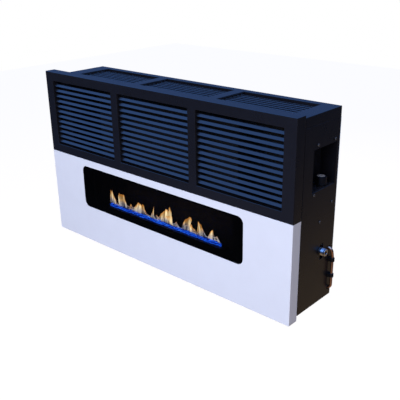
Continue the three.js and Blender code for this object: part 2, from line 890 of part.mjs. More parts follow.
place("firebox", firebox(), blackenedSteel);
place("firebox_support_left", fireboxSupport(-supportOffset), bareSteel);
place("firebox_support_right", fireboxSupport(supportOffset), bareSteel);
place("heat_riser", heatRiser(), blackenedSteel);
place("heat_baffle", heatBaffle(), blackenedSteel);
place("rear_heat_shield", heatShield(), bareSteel);

// ---- Burner ----

const burnerBottom = burnerTop - burnerHeight;
const burnerEnd = burnerLength / 2;
const mixerEnd = crossoverX - injectorGap;

// Ribbon burner: a long hollow bar with a row of ports, fed by a mixing tube with a flared mouth.
function burner() {
  const y = [burnerY - burnerDepth / 2, burnerY + burnerDepth / 2];
  const tubeStart = burnerEnd - thinSheet / 2;
  const boreStart = burnerEnd - 3 * thinSheet;
  const shell = block([-burnerEnd, burnerEnd], y, [burnerBottom, burnerTop]);
  const mixer = turnedAlongX(
    [
      [0, tubeStart],
      [mixerRadius, tubeStart],
      [mixerRadius, mixerEnd - flareLength],
      [mouthRadius, mixerEnd],
      [0, mixerEnd],
    ],
    [burnerY, injectorHeight],
    20,
  );
  const bore = turnedAlongX(
    [
      [0, boreStart],
      [mixerRadius - thinSheet, boreStart],
      [mixerRadius - thinSheet, mixerEnd - flareLength],
      [mouthRadius - thinSheet, mixerEnd + 1],
      [0, mixerEnd + 1],
    ],
    [burnerY, injectorHeight],
    20,
  );
  const hollow = block(
    [-burnerEnd + thinSheet, burnerEnd - thinSheet],
    [y[0] + thinSheet, y[1] - thinSheet],
    [burnerBottom + thinSheet, burnerTop - thinSheet],
  );
  let body = shell.add(mixer).subtract(hollow).subtract(bore);
  for (let i = 0; i < portCount; i += 1) {
    const x = (i - (portCount - 1) / 2) * portPitch;
    const port = block(
      [x - portLength / 2, x + portLength / 2],
      [burnerY - portWidth / 2, burnerY + portWidth / 2],
      [burnerTop - thinSheet - 1, burnerTop + 1],
    );
    body = body.subtract(port);
  }
  return body;
}

// A saddle holds the burner at its height above the floor of the firebox.
function burnerSaddle(x) {
  const wide = past([x, x], saddleWidth / 2);
  const y = past([burnerY, burnerY], burnerDepth / 2 + fit + thinSheet);
  const z = [fireboxBottom + sheet + fit, burnerTop - saddleTopDrop];
  const inside = within(y, thinSheet);
  const shelf = burnerBottom - fit;
  return block(wide, y, z)
    .subtract(block(past(wide), inside, [shelf, z[1] + 1]))
    .subtract(block(past(wide), inside, [z[0] - 1, shelf - thinSheet]));
}

// The injector: a brass elbow whose nozzle points into the mouth of the mixing tube.
function injector() {
  const half = injectorBody / 2;
  const nozzle = turnedAlongX(
    [
      [0, mixerEnd - nozzleReach],
      [nozzleRadius / 2, mixerEnd - nozzleReach],
      [nozzleRadius, mixerEnd + nozzleReach],
      [nozzleRadius, crossoverX],
      [0, crossoverX],
    ],
    [burnerY, injectorHeight],
    16,
  );
  const around = (centre) => past([centre, centre], half);
  const body = block(around(crossoverX), around(burnerY), around(injectorHeight));
  const foot = [injectorHeight - half - nutHeight / 2, injectorHeight - half + 1];
  return join(body, hexagon("z", [crossoverX, burnerY], foot, nutWidth), nozzle);
}

// The bracket reaches from the side of the firebox, under the mixing tube, to the injector.
function injectorBracket() {
  const x0 = fireboxX[1] + fit;
  const x1 = crossoverX - injectorBody / 2 - fit;
  const shelf = injectorHeight - mouthRadius - fit;
  const top = injectorHeight + injectorBody / 2;
  const section = [
    [x0, shelf - bracketFoot],
    [x0 + sheet, shelf - bracketFoot],
    [x0 + sheet, shelf - sheet],
    [x1, shelf - sheet],
    [x1, top],
    [x1 - sheet, top],
    [x1 - sheet, shelf],
    [x0, shelf],
  ];
  const nozzleHole = bar("x", [burnerY, injectorHeight], past([x1 - sheet, x1]), nozzleRadius + fit, 16);
  return prism("y", section, past([burnerY, burnerY], injectorBody / 2)).subtract(nozzleHole);
}

place("burner", burner(), bareSteel);
place("burner_saddle_left", burnerSaddle(-saddleOffset), bareSteel);
place("burner_saddle_right", burnerSaddle(saddleOffset), bareSteel);
place("injector", injector(), brass);
place("injector_bracket", injectorBracket(), bareSteel);

// ---- Gas control ----

const knobY = fromFront(knobLine);
const recessY = [fromFront(recessFront), fromFront(recessBack)];

// The hand recess: a pressed box behind its opening, with a flange above, below and in front.
function controlRecess() {
  const back = insideRight - recessDepth;
  const x = [back - sheet, insideRight];
  const body = past([recessBottom, recessTop], sheet);
  const bodyY = past(recessY, sheet);
  const flangeY = [bodyY[0] - trayFlange, bodyY[1]];
  const flangeZ = past(body, trayFlange);
  const behind = [x[0] - 1, insideRight - sheet];
  const shell = flanged(
    block(x, flangeY, flangeZ),
    block(behind, past(flangeY), past(flangeZ)),
    block(past(behind), [bodyY[0], bodyY[1] + 2], body),
  );
  const inside = block([back, insideRight + 1], recessY, [recessBottom, recessTop]);
  const floor = past([recessBottom - sheet, recessBottom]);
  const spindleHole = bar("z", [knobX, knobY], floor, spindleRadius + 2 * fit);
  return shell.subtract(inside).subtract(spindleHole).subtract(sideScrewHoles());
}

const valveX = [valveLeft, valveRight];
const valveY = [fromFront(valveFront), fromFront(valveBack)];
const bossTop = recessBottom - sheet - fit;
const spindleBottom = bossTop - spindleDepth;
const rodBottom = spindleBottom - fit - rodLength;
const boreBottom = rodBottom - knobTravel - 2 * fit;

// Gas valve: a cast block with a boss for the spindle, bored for the spindle and the push rod.
function gasValve() {
  const bore = bar("z", [knobX, knobY], [boreBottom, bossTop + 1], spindleRadius + fit);
  return join(
    block(valveX, valveY, [valveBottom, valveTop]),
    bar("z", [knobX, knobY], [valveTop - 1, bossTop], valveBossRadius),
  ).subtract(bore);
}

// The bracket that carries the valve on the side panel.
function valveBracket() {
  const shelf = [valveBottom - fit - sheet, valveBottom - fit];
  const [valveScrew, lowScrew] = [sideScrews[3], sideScrews[4]];
  const y = past([fromFront(lowScrew[0]), fromFront(valveScrew[0])], trayFlange / 2);
  const z = past([lowScrew[1], valveScrew[1]], trayFlange);
  const plate = block([insideRight - sheet, insideRight], y, z);
  const arm = block([valveLeft, insideRight - sheet / 2], past(valveY, 2), shelf);
  const holes = past(shelf);
  return join(plate, arm)
    .subtract(bar("z", [inletPipeX, fromFront(inletLine)], holes, inletPipeRadius + fit))
    .subtract(bar("z", [copperValveX, fromFront(copperValveLine)], holes, copperRadius + fit))
    .subtract(sideScrewHoles());
}

const knobTop = knobBottom + knobHeight;
const hubBottom = knobTop - hubDrop;

// The control knob: a round cup with a hub on the spindle and a pointer groove across its top.
function controlKnob() {
  const ceiling = knobTop - knobWall;
  const inner = knobRadius - knobWall;
  const bore = spindleRadius + fit;
  const cup = turned(
    [
      [0, ceiling],
      [bore, ceiling],
      [bore, hubBottom],
      [hubRadius, hubBottom],
      [hubRadius, ceiling],
      [inner, ceiling],
      [inner, knobBottom],
      [knobRadius, knobBottom],
      [knobRadius, knobTop - knobEdge],
      [knobRadius - knobEdge / 3, knobTop - knobEdge / 3],
      [knobRadius - knobEdge, knobTop],
      [0, knobTop],
    ],
    [knobX, knobY],
    40,
  );
  const grooveEnd = knobY - knobRadius + knobEdge;
  const groove = block(
    past([knobX, knobX], knobGrooveWidth / 2),
    [grooveEnd, grooveEnd + knobGrooveLength],
    [knobTop - knobGrooveDepth, knobTop + 1],
  );
  return cup.subtract(groove);
}

const spindle = bar("z", [knobX, knobY], [spindleBottom, knobTop - knobWall - fit], spindleRadius);
const pushRod = bar("z", [knobX, knobY], [rodBottom, spindleBottom - fit], spindleRadius);
const springTop = hubBottom - fit;
const springBottom = recessBottom + fit;
const spring = turned(
  [
    [springRadius - springWire, springBottom],
    [springRadius, springBottom],
    [springRadius, springTop],
    [springRadius - springWire, springTop],
    [springRadius - springWire, springBottom],
  ],
  [knobX, knobY],
  20,
);

place("control_recess", controlRecess(), blackPaint);
place("gas_valve", gasValve(), bareSteel);
place("valve_bracket", valveBracket(), bareSteel);
place("valve_push_rod", pushRod, brass);
place("knob_spindle", spindle, brass);
place("knob_spring", spring, bareSteel);
place("control_knob", controlKnob(), blackPlastic);

// ---- Gas connections ----

const inletY = fromFront(inletLine);
const threadStart = caseRight + fit;
const threadEnd = threadStart + inletReach;
const tailEnd = insideRight - locknutThickness - inletTail;

// The inlet: a nickelled nipple with an outside thread, bored through.
function inletFitting() {
  const profile = [
    [0, tailEnd],
    [inletTailRadius, tailEnd],
    [inletTailRadius, threadStart],
    [inletThreadRadius, threadStart],
  ];
  const ridges = Math.floor((inletReach - 4) / threadPitch);
  for (let i = 0; i < ridges; i += 1) {
    const x = threadStart + 2 + i * threadPitch;
    profile.push([inletThreadRadius, x]);
    profile.push([inletThreadRadius - threadDepth, x + threadPitch / 2]);
  }
  profile.push([inletThreadRadius, threadEnd - 2]);
  profile.push([inletThreadRadius - 1, threadEnd]);
  profile.push([0, threadEnd]);
  const bore = bar("x", [inletY, inletHeight], [tailEnd - 1, threadEnd + 1], inletBore);
  return turnedAlongX(profile, [inletY, inletHeight], 32).subtract(bore);
}

const locknutX = [insideRight - locknutThickness, insideRight];
const locknut = hexagon("x", [inletY, inletHeight], locknutX, locknutWidth)
  .subtract(bar("x", [inletY, inletHeight], past(locknutX), inletTailRadius + fit));

const pipeTop = valveBottom - fit;
const inletPipe = tubeAlong(
  [
    [tailEnd - fit, inletY, inletHeight],
    [inletPipeX, inletY, inletHeight],
    [inletPipeX, inletY, pipeTop],
  ],
  inletPipeRadius,
  copperBend,
  16,
);

// The copper supply pipe leaves the valve, comes out of the case, runs down the back edge of its
// side in two clips, goes in again near the bottom and crosses forward to the injector.
const copperY = fromFront(copperLine);
const copperX = caseRight + copperStandOff;
const copperEnd = injectorHeight - injectorBody / 2 - nutHeight / 2 - fit;
const supplyPipe = tubeAlong(
  [
    [copperValveX, fromFront(copperValveLine), pipeTop],
    [copperValveX, fromFront(copperValveLine), copperStraightHeight],
    [copperValveX, fromFront(copperExitLine), copperExitHeight],
    [copperX, fromFront(copperExitLine), copperExitHeight],
    [copperX, copperY, copperExitHeight - copperSideDrop],
    [copperX, copperY, copperReturnHeight],
    [crossoverX, copperY, copperReturnHeight],
    [crossoverX, burnerY, copperReturnHeight],
    [crossoverX, burnerY, copperEnd],
  ],
  copperRadius,
  copperBend,
  12,
);

// A stand-off clip: a foot on the side panel and a round eye for the pipe.
function pipeClip(height) {
  const z = [height - clipHeight / 2, height + clipHeight / 2];
  const eye = copperRadius + fit + clipWall;
  return join(
    block([caseRight + fit, caseRight + fit + clipWall], [copperY - eye - clipFoot, copperY + eye], z),
    block([caseRight + fit, copperX], [copperY - eye, copperY + eye], z),
    bar("z", [copperX, copperY], z, eye),
  ).subtract(bar("z", [copperX, copperY], [z[0] - 1, z[1] + 1], copperRadius + fit));
}

// A union nut round the end of a pipe, under the shelf of the valve bracket.
function unionNut(x, line, radius, width) {
  const top = valveBottom - 2 * fit - sheet;
  const range = [top - nutHeight, top];
  return hexagon("z", [x, fromFront(line)], range, width).subtract(
    bar("z", [x, fromFront(line)], [range[0] - 1, range[1] + 1], radius + fit),
  );
}

place("inlet_fitting", inletFitting(), nickel);
place("inlet_locknut", locknut, nickel);
place("inlet_pipe", inletPipe, bareSteel);
place("inlet_nut", unionNut(inletPipeX, inletLine, inletPipeRadius, inletNutWidth), brass);
place("supply_pipe", supplyPipe, copper);
place("supply_nut", unionNut(copperValveX, copperValveLine, copperRadius, supplyNutWidth), brass);
place("pipe_clip_upper", pipeClip(upperClipHeight), blackPlastic);
place("pipe_clip_lower", pipeClip(lowerClipHeight), blackPlastic);

// ---- Pilot ----

const pilotY = fromFront(pilotLine);
const plateTop = pilotPlateHeight + sheet;

// The plate that holds the pilot, the thermocouple and the electrode beside the burner.
function pilotBracket() {
  const [y0, y1] = past([pilotY, pilotY], pilotPlateDepth / 2);
  const section = [
    [y0, pilotPlateHeight],
    [y1 - sheet, pilotPlateHeight],
    [y1 - sheet, fireboxBottom + sheet + fit],
    [y1, fireboxBottom + sheet + fit],
    [y1, plateTop],
    [y0, plateTop],
  ];
  const plate = prism("x", section, past([thermocoupleX, electrodeX], pilotPlateMargin));
  const hole = (x) => bar("z", [x, pilotY], past([pilotPlateHeight, plateTop]), pilotRadius + fit, 16);
  return plate.subtract(hole(thermocoupleX)).subtract(hole(pilotX)).subtract(hole(electrodeX));
}

const tailBottom = pilotPlateHeight - stemDrop;

// A stem through the plate with a collar that rests on it.
function stem(x, collar, top, tip) {
  return turned(
    [
      [0, tailBottom],
      [pilotRadius, tailBottom],
      [pilotRadius, plateTop + fit],
      [collar, plateTop + fit],
      [collar, plateTop + collarHeight],
      [pilotRadius, plateTop + collarHeight + taperHeight],
      [pilotRadius, top - taperHeight],
      [tip, top],
      [0, top],
    ],
    [x, pilotY],
    16,
  );
}

const stemTop = burnerTop - stemTopDrop;
const pilotBurner = stem(pilotX, pilotHoodRadius, stemTop, pilotHoodRadius)
  .subtract(bar("z", [pilotX, pilotY], [stemTop - pilotBoreDepth, burnerTop], pilotBore, 12));

// The wire stands up from the ceramic and bends over towards the pilot.
const wireTop = stemTop + wireRise;
const electrodeWire = bar("z", [electrodeX, pilotY], [stemTop - 2, wireTop], wireRadius, 8).add(
  block(
    [electrodeX - wireReach, electrodeX + wireRadius],
    past([pilotY, pilotY], wireRadius),
    [wireTop - 2 * wireRadius, wireTop],
  ),
);
const sparkElectrode = stem(electrodeX, collarRadius, stemTop, 1.6 * wireRadius).add(electrodeWire);

// A lead runs down from its stem, along under the firebox, back beside the valve and up to it. It
// ends at a place given from the lower left corner of the valve.
function lead(x, radius, startHeight, runHeight, [inset, rise], intoValve) {
  const [endX, endHeight] = [valveLeft + inset, valveBottom + rise];
  const corners = [
    [x, pilotY, startHeight],
    [x, pilotY, runHeight],
    [endX, pilotY, runHeight],
    [endX, fromFront(leadTurnLine), runHeight],
    [endX, fromFront(leadTurnLine), endHeight],
  ];
  if (intoValve) corners.push([endX, valveY[0] - fit, endHeight]);
  return tubeAlong(corners, radius, leadBend, 8);
}

const igniterBottom = valveBottom + igniterRise;
const leadStart = tailBottom - fit;
const thermocoupleLead = lead(
  thermocoupleX,
  leadRadius,
  tailBottom + 1,
  thermocoupleRunHeight,
  [thermocoupleEntryInset, thermocoupleEntryRise],
  true,
);
const thermocouple = stem(thermocoupleX, collarRadius, burnerTop - 1, leadRadius).add(thermocoupleLead);
const pilotTube = lead(
  pilotX,
  pilotTubeRadius,
  leadStart,
  pilotTubeRunHeight,
  [pilotTubeEntryInset, pilotTubeEntryRise],
  true,
);
const ignitionLead = lead(
  electrodeX,
  leadRadius,
  leadStart,
  ignitionLeadRunHeight,
  [knobX - valveLeft, igniterRise - fit],
  false,
);
const igniter = block(
  past([knobX, knobX], igniterWidth / 2),
  [fromFront(leadTurnLine) - igniterFront, valveY[0] - fit],
  [igniterBottom, igniterBottom + igniterHeight],
);

place("pilot_bracket", pilotBracket(), bareSteel);
place("pilot_burner", pilotBurner, bareSteel);
place("pilot_tube", pilotTube, copper);
place("thermocouple", thermocouple, copper);
place("spark_electrode", sparkElectrode, ceramic);
place("ignition_lead", ignitionLead, blackPlastic);
place("piezo_igniter", igniter, blackPlastic);

// ---- Screws ----

// A pan head screw, with its head against a face and its shank into it.
function screwAlongX(y, z) {
  const head = caseRight + fit;
  return turnedAlongX(
    [
      [0, head - screwLength],
      [screwRadius, head - screwLength + 1],
      [screwRadius, head],
      [screwHeadRadius, head],
      [screwHeadRadius, head + screwHeadHeight / 2],
      [screwHeadRadius * 0.6, head + screwHeadHeight],
      [0, head + screwHeadHeight],
    ],
    [y, z],
    16,
  );
}

sideScrews.forEach(([line, z], i) => {
  place(`side_screw_${i + 1}`, screwAlongX(fromFront(line), z), blackPaint);
});

// The fascia screws are driven forward from inside the case.
function fasciaScrew(x, z) {
  const face = caseFront + sheet + fit;
  return join(
    bar("y", [x, z], [face - screwLength, face + 1], screwRadius, 12),
    bar("y", [x, z], [face, face + screwHeadHeight], screwHeadRadius, 12),
  );
}

for (const [level, z] of Object.entries(fasciaScrewHeights)) {
  fasciaScrewXs.forEach((x, i) => {
    place(`fascia_screw_${level}_${["left", "right"][i]}`, fasciaScrew(x, z), bareSteel);
  });
}

heater.position.z = -keyholeHeight;

export default heater;
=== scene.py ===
"""A wall mounted gas heater, dressed for a picture: its folded sheets, glass, flames and fittings."""

import math
import random

import bmesh
import bpy
from mathutils import Matrix, Vector


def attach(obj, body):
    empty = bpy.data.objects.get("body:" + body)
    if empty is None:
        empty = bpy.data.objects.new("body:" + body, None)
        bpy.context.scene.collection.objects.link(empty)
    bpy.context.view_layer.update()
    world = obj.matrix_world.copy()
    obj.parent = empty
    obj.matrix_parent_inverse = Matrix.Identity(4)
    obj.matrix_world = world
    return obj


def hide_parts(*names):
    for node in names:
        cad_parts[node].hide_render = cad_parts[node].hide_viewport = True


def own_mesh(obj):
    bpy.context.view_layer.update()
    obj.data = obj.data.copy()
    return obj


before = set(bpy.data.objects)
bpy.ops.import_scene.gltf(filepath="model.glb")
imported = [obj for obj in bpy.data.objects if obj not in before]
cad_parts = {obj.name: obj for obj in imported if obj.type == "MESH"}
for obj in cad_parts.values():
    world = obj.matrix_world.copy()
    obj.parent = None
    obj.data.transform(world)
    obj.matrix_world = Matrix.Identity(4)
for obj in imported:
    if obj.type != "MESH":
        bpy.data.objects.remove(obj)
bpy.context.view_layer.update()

# ---- Camera ----
# The photograph was taken from the right of the heater, a little above it, with the camera turned
# left and down and tipped by under a degree. The camera stands about two metres from the case.
LENS = 56.7
SENSOR = 36.0
CAMERA_PLACE = (1.29546, -1.40352, 0.45475)
TURN, TILT, ROLL = 42.627, 68.238, -0.909
lens = bpy.data.cameras.new("camera")
lens.lens = LENS
lens.sensor_width = SENSOR
lens.clip_start = 0.05
camera = bpy.data.objects.new("camera", lens)
aim = (
    Matrix.Rotation(math.radians(TURN), 4, "Z")
    @ Matrix.Rotation(math.radians(TILT), 4, "X")
    @ Matrix.Rotation(math.radians(ROLL), 4, "Z")
)
camera.matrix_world = Matrix.Translation(CAMERA_PLACE) @ aim
bpy.context.scene.collection.objects.link(camera)
bpy.context.scene.camera = camera
bpy.context.scene.view_settings.view_transform = "Standard"


# ---- Studio ----
# A white room: a pale floor well below the heater, a large soft lamp in front, and weaker ones to
# the side and behind. The camera sees white all round; in mirrors the room is dark low down and
# blue higher up, which gives the black sheets their blue sheen.
class Wire:
    """A socket that takes part in ordinary sums."""

    def __init__(self, recipe, socket):
        self.recipe = recipe
        self.socket = socket

    def sum(self, operation, first, second):
        return self.recipe.node("ShaderNodeMath", {"operation": operation}, {0: first, 1: second})

    def __add__(self, other):
        return self.sum("ADD", self, other)

    def __radd__(self, other):
        return self.sum("ADD", other, self)

    def __sub__(self, other):
        return self.sum("SUBTRACT", self, other)

    def __rsub__(self, other):
        return self.sum("SUBTRACT", other, self)

    def __mul__(self, other):
        return self.sum("MULTIPLY", self, other)

    def __rmul__(self, other):
        return self.sum("MULTIPLY", other, self)

    def __truediv__(self, other):
        return self.sum("DIVIDE", self, other)


class Recipe:
    """The nodes of one material or of the world."""

    def __init__(self, owner):
        owner.use_nodes = True
        self.owner = owner
        self.tree = owner.node_tree

    def node(self, kind, settings=None, sockets=None, out=0):
        made = self.tree.nodes.new(kind)
        for name, value in (settings or {}).items():
            if name == "stops":
                self.set_stops(made.color_ramp, value)
            else:
                setattr(made, name, value)
        for name, value in (sockets or {}).items():
            self.plug(made.inputs[name], value)
        return Wire(self, made.outputs[out])

    def set_stops(self, ramp, stops):
        for place, colour in stops[len(ramp.elements) :]:
            ramp.elements.new(place)
        for element, (place, colour) in zip(ramp.elements, stops):
            element.position = place
            element.color = (*colour, 1.0)

    def plug(self, socket, value):
        if isinstance(value, Wire):
            self.tree.links.new(value.socket, socket)
        else:
            socket.default_value = value

    def place(self):
        """The object's own coordinates, in metres."""
        return self.node("ShaderNodeTexCoord", out="Object")

    def part(self, vector, letter):
        """The X, Y or Z of a vector."""
        return self.node("ShaderNodeSeparateXYZ", sockets={0: vector}, out=letter)

    def between(self, value, low, high):
        """A factor that climbs from 0 to 1 as the value goes from low to high."""
        return self.node("ShaderNodeMapRange", sockets={0: value, 1: low, 2: high})

    def blend(self, factor, low, high):
        """A colour between two, by a factor from 0 to 1."""
        ends = [(*end, 1.0) if isinstance(end, tuple) else end for end in (low, high)]
        sockets = {0: factor, 6: ends[0], 7: ends[1]}
        return self.node("ShaderNodeMix", {"data_type": "RGBA"}, sockets, out=2)

    def shade(self, sockets):
        """Sets the sockets of the surface that this recipe makes."""
        surface = self.tree.nodes["Principled BSDF"]
        for name, value in sockets.items():
            self.plug(surface.inputs[name], value)
        return self.owner


# What the camera sees and what lights dull faces, then the colours that mirrors show on each side,
# and the parts of a direction between which one side passes into the next. Of LOW_RIGHT, the last
# share is left high up.
BACKDROP = (1.0, 1.0, 1.0)
ROOM_LIGHT = (0.24, 0.25, 0.32)
LOW_BACK = (0.075, 0.14, 0.34)
HIGH_BACK = (0.075, 0.17, 0.48)
TOP_BACK = (0.17, 0.38, 1.05)
LOW_RIGHT = (0.030, 0.030, 0.036)
LOW_FRONT = (0.05, 0.06, 0.09)
LEFT_FRONT = (0.22, 0.52, 1.4)
HIGH_FRONT = (0.40, 1.05, 2.9)
LEFT_TO_MIDDLE = (-0.90, -0.76)
MIDDLE_TO_RIGHT = (0.15, 0.6)
FRONT_TO_BACK = (-0.15, 0.35)
LOW_TO_HIGH = (0.08, 0.38)
HIGH_TO_TOP = (0.36, 0.50)
LOW_RIGHT_SHARE = 0.4
world = Recipe(bpy.data.worlds.new("studio"))
bpy.context.scene.world = world.owner
direction = world.node("ShaderNodeTexCoord", out="Generated")
across = world.part(direction, "X")
height = world.part(direction, "Z")
high = world.between(height, *LOW_TO_HIGH)
upper_front = world.blend(world.between(across, *LEFT_TO_MIDDLE), LEFT_FRONT, HIGH_FRONT)
front_sky = world.blend(high, LOW_FRONT, upper_front)
lower_back = world.blend(high, LOW_BACK, HIGH_BACK)
back_sky = world.blend(world.between(height, *HIGH_TO_TOP), lower_back, TOP_BACK)
behind = world.between(world.part(direction, "Y"), *FRONT_TO_BACK)
left_sky = world.blend(behind, front_sky, back_sky)
rightward = world.between(across, *MIDDLE_TO_RIGHT)
sky = world.blend(rightward * (1.0 - (1.0 - LOW_RIGHT_SHARE) * high), left_sky, LOW_RIGHT)
reflected = world.node("ShaderNodeLightPath", out="Is Glossy Ray")
seen = world.node("ShaderNodeLightPath", out="Is Camera Ray")
through = world.node("ShaderNodeLightPath", out="Is Transmission Ray")
shown = world.blend(seen + through, ROOM_LIGHT, BACKDROP)
surroundings = world.blend(reflected, shown, sky)
world.plug(world.tree.nodes["Background"].inputs["Color"], surroundings)
world.plug(world.tree.nodes["Background"].inputs["Strength"], 1.0)

# The floor is pale to the camera. In mirrors it has the colours below, each at its share of the
# width that they span, from left to right.
FLOOR_HEIGHT = -1.15
FLOOR_SIZE = 14.0
FLOOR_TINT = (0.22, 0.18, 0.15)
FLOOR_GLOW = (0.90, 0.90, 0.90)
DARK = (0.0, 0.0, 0.0)
MIRROR_SPAN = 10.0
FLOOR_IN_MIRRORS = (
    (0.28, (0.016, 0.018, 0.036)),
    (0.33, (0.078, 0.083, 0.140)),
    (0.40, (0.130, 0.135, 0.220)),
    (0.52, (0.080, 0.070, 0.080)),
    (0.61, (0.290, 0.195, 0.085)),
    (0.70, (0.016, 0.015, 0.018)),
)
floor_recipe = Recipe(bpy.data.materials.new("pale_floor"))
floor_seen = floor_recipe.node("ShaderNodeLightPath", out="Is Camera Ray")
floor_mirrored = floor_recipe.node("ShaderNodeLightPath", out="Is Glossy Ray")
floor_share = 0.5 + floor_recipe.part(floor_recipe.place(), "X") / MIRROR_SPAN
floor_in_mirrors = floor_recipe.node(
    "ShaderNodeValToRGB", {"stops": FLOOR_IN_MIRRORS}, {0: floor_share}, out="Color"
)
floor_lit = floor_recipe.blend(floor_seen, DARK, FLOOR_GLOW)
floor_recipe.shade(
    {
        "Base Color": floor_recipe.blend(floor_mirrored, FLOOR_TINT, DARK),
        "Roughness": 0.9,
        "Emission Color": floor_recipe.blend(floor_mirrored, floor_lit, floor_in_mirrors),
        "Emission Strength": 1.0,
    }
)
floor_mesh = bmesh.new()
bmesh.ops.create_grid(floor_mesh, x_segments=1, y_segments=1, size=FLOOR_SIZE / 2)
bmesh.ops.translate(floor_mesh, verts=floor_mesh.verts, vec=(0, 0, FLOOR_HEIGHT))
floor_data = bpy.data.meshes.new("floor")
floor_mesh.to_mesh(floor_data)
floor_data.materials.append(floor_recipe.owner)
floor = bpy.data.objects.new("floor", floor_data)
bpy.context.scene.collection.objects.link(floor)

MIDDLE = Vector((0.0, -0.1, -0.2))


def softbox(name, place, size, watts, colour, mirrored=False):
    """A square lamp that faces the middle of the heater. Shiny faces show it only if mirrored."""
    light = bpy.data.lights.new(name, "AREA")
    light.size = size
    light.energy = watts
    light.color = colour
    lamp = bpy.data.objects.new(name, light)
    lamp.location = place
    lamp.rotation_euler = (MIDDLE - Vector(place)).to_track_quat("-Z", "Y").to_euler()
    lamp.visible_glossy = mirrored
    bpy.context.scene.collection.objects.link(lamp)


softbox("front_lamp", (0.4, -3.2, 0.8), size=2.4, watts=122, colour=(0.95, 0.97, 1.0))
softbox("side_lamp", (3.0, -0.9, -0.7), size=1.4, watts=15.5, colour=(1.0, 0.84, 0.64))
softbox("small_lamp", (1.9, -1.5, 1.0), size=0.35, watts=1.6, colour=(0.94, 0.97, 1.0), mirrored=True)
softbox("back_lamp", (-1.0, 2.8, 1.6), size=2.0, watts=24, colour=(0.92, 0.96, 1.0))


# ---- Black sheets ----
# The upper fascia, the case and the louvres are folded from steel sheet and powder coated black.
# The coat is semi-gloss with a fine orange peel, a little paler and shinier over the folds.
def grain(recipe, scale, detail=2.0, roughness=0.5, stretch=None):
    """Noise on the object's own coordinates, in grains per metre."""
    place = recipe.place()
    if stretch:
        place = recipe.node("ShaderNodeMapping", sockets={"Vector": place, "Scale": stretch})
    return recipe.node(
        "ShaderNodeTexNoise",
        sockets={"Vector": place, "Scale": scale, "Detail": detail, "Roughness": roughness},
    )


def relief(recipe, height, depth):
    """Bumps of a depth in metres."""
    sockets = {"Height": height, "Distance": depth, "Strength": 1.0}
    return recipe.node("ShaderNodeBump", sockets=sockets)


def edge_mask(recipe):
    """1 on the rounded folds and edges, and 0 elsewhere."""
    return recipe.node("ShaderNodeAttribute", {"attribute_name": "edge"}, out="Fac")


def powder_coat(name, dark, pale, worn, gloss, peel=0.000004, dust_and_painted_light=None, lean=0.0, shine=0.5):
    """Powder coat: two near shades in soft patches, a worn shade on the folds, and orange peel.

    Faces that look up are painted paler with specks: dust, and painted light for the light that falls on
    them. A lean turns flat faces towards the front by that slope.
    """
    recipe = Recipe(bpy.data.materials.new(name))
    patches = recipe.blend(grain(recipe, 7.0, 4.0), dark, pale)
    if dust_and_painted_light:
        # Faces that look up are painted paler: dust specks, and painted light for the light that falls
        # on them.
        upward = recipe.part(recipe.node("ShaderNodeNewGeometry", out="Normal"), "Z")
        specks = 0.55 + 0.6 * grain(recipe, 130.0, 5.0, 0.65)
        patches = recipe.blend(recipe.between(upward, 0.5, 0.9) * specks, patches, dust_and_painted_light)
    surface = peel * (grain(recipe, 620.0, 2.0) + 0.5 * grain(recipe, 240.0))
    if lean:
        surface = surface + lean * recipe.part(recipe.place(), "Y")
    smudge = grain(recipe, 16.0, 5.0, 0.6)
    return recipe.shade(
        {
            "Base Color": recipe.blend(edge_mask(recipe) * (0.35 + 0.5 * smudge), patches, worn),
            "Roughness": gloss + 0.16 * (smudge - 0.5) - 0.05 * edge_mask(recipe),
            "Specular IOR Level": shine,
            "Normal": relief(recipe, surface, 1.0),
        }
    )


def round_edges(bm, edges, width, segments):
    """Rounds some edges, and marks the new faces as edge."""
    if not edges:
        return
    layer = bm.loops.layers.float_color["edge"]
    rounded = bmesh.ops.bevel(
        bm,
        geom=edges,
        offset=width,
        offset_type="OFFSET",
        segments=segments,
        profile=0.5,
        affect="EDGES",
        clamp_overlap=False,
        material=-1,
    )
    for face in rounded["faces"]:
        for loop in face.loops:
            loop[layer] = (1.0, 1.0, 1.0, 1.0)


def breadth(face):
    """The width of a face that is much longer than it is wide."""
    return 2 * face.calc_area() / face.calc_perimeter()


SHEET = 0.0015
WELD = 4e-6
FLAT_ANGLE = math.radians(1)
SMOOTH_ANGLE = math.radians(36)
CORNER_ANGLE = math.radians(38)


def finished(name, bm, material, body="case", replaces=None):
    """Makes the object of a piece, with its normals weighted by area so that flats stay flat."""
    for face in bm.faces:
        face.smooth = True
    for edge in bm.edges:
        edge.smooth = len(edge.link_faces) == 2 and edge.calc_face_angle() < SMOOTH_ANGLE
    mesh = bpy.data.meshes.new(name)
    bm.to_mesh(mesh)
    bm.free()
    mesh.materials.append(material)
    made = bpy.data.objects.new(name, mesh)
    bpy.context.scene.collection.objects.link(made)
    weighted = made.modifiers.new("weighted", "WEIGHTED_NORMAL")
    weighted.keep_sharp = True
    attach(made, body)
    if replaces:
        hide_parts(replaces)
    return made


def corners(bm):
    """The convex edges where two faces meet at an angle."""
    for edge in bm.edges:
        if len(edge.link_faces) == 2 and edge.is_convex and edge.calc_face_angle() > CORNER_ANGLE:
            yield edge


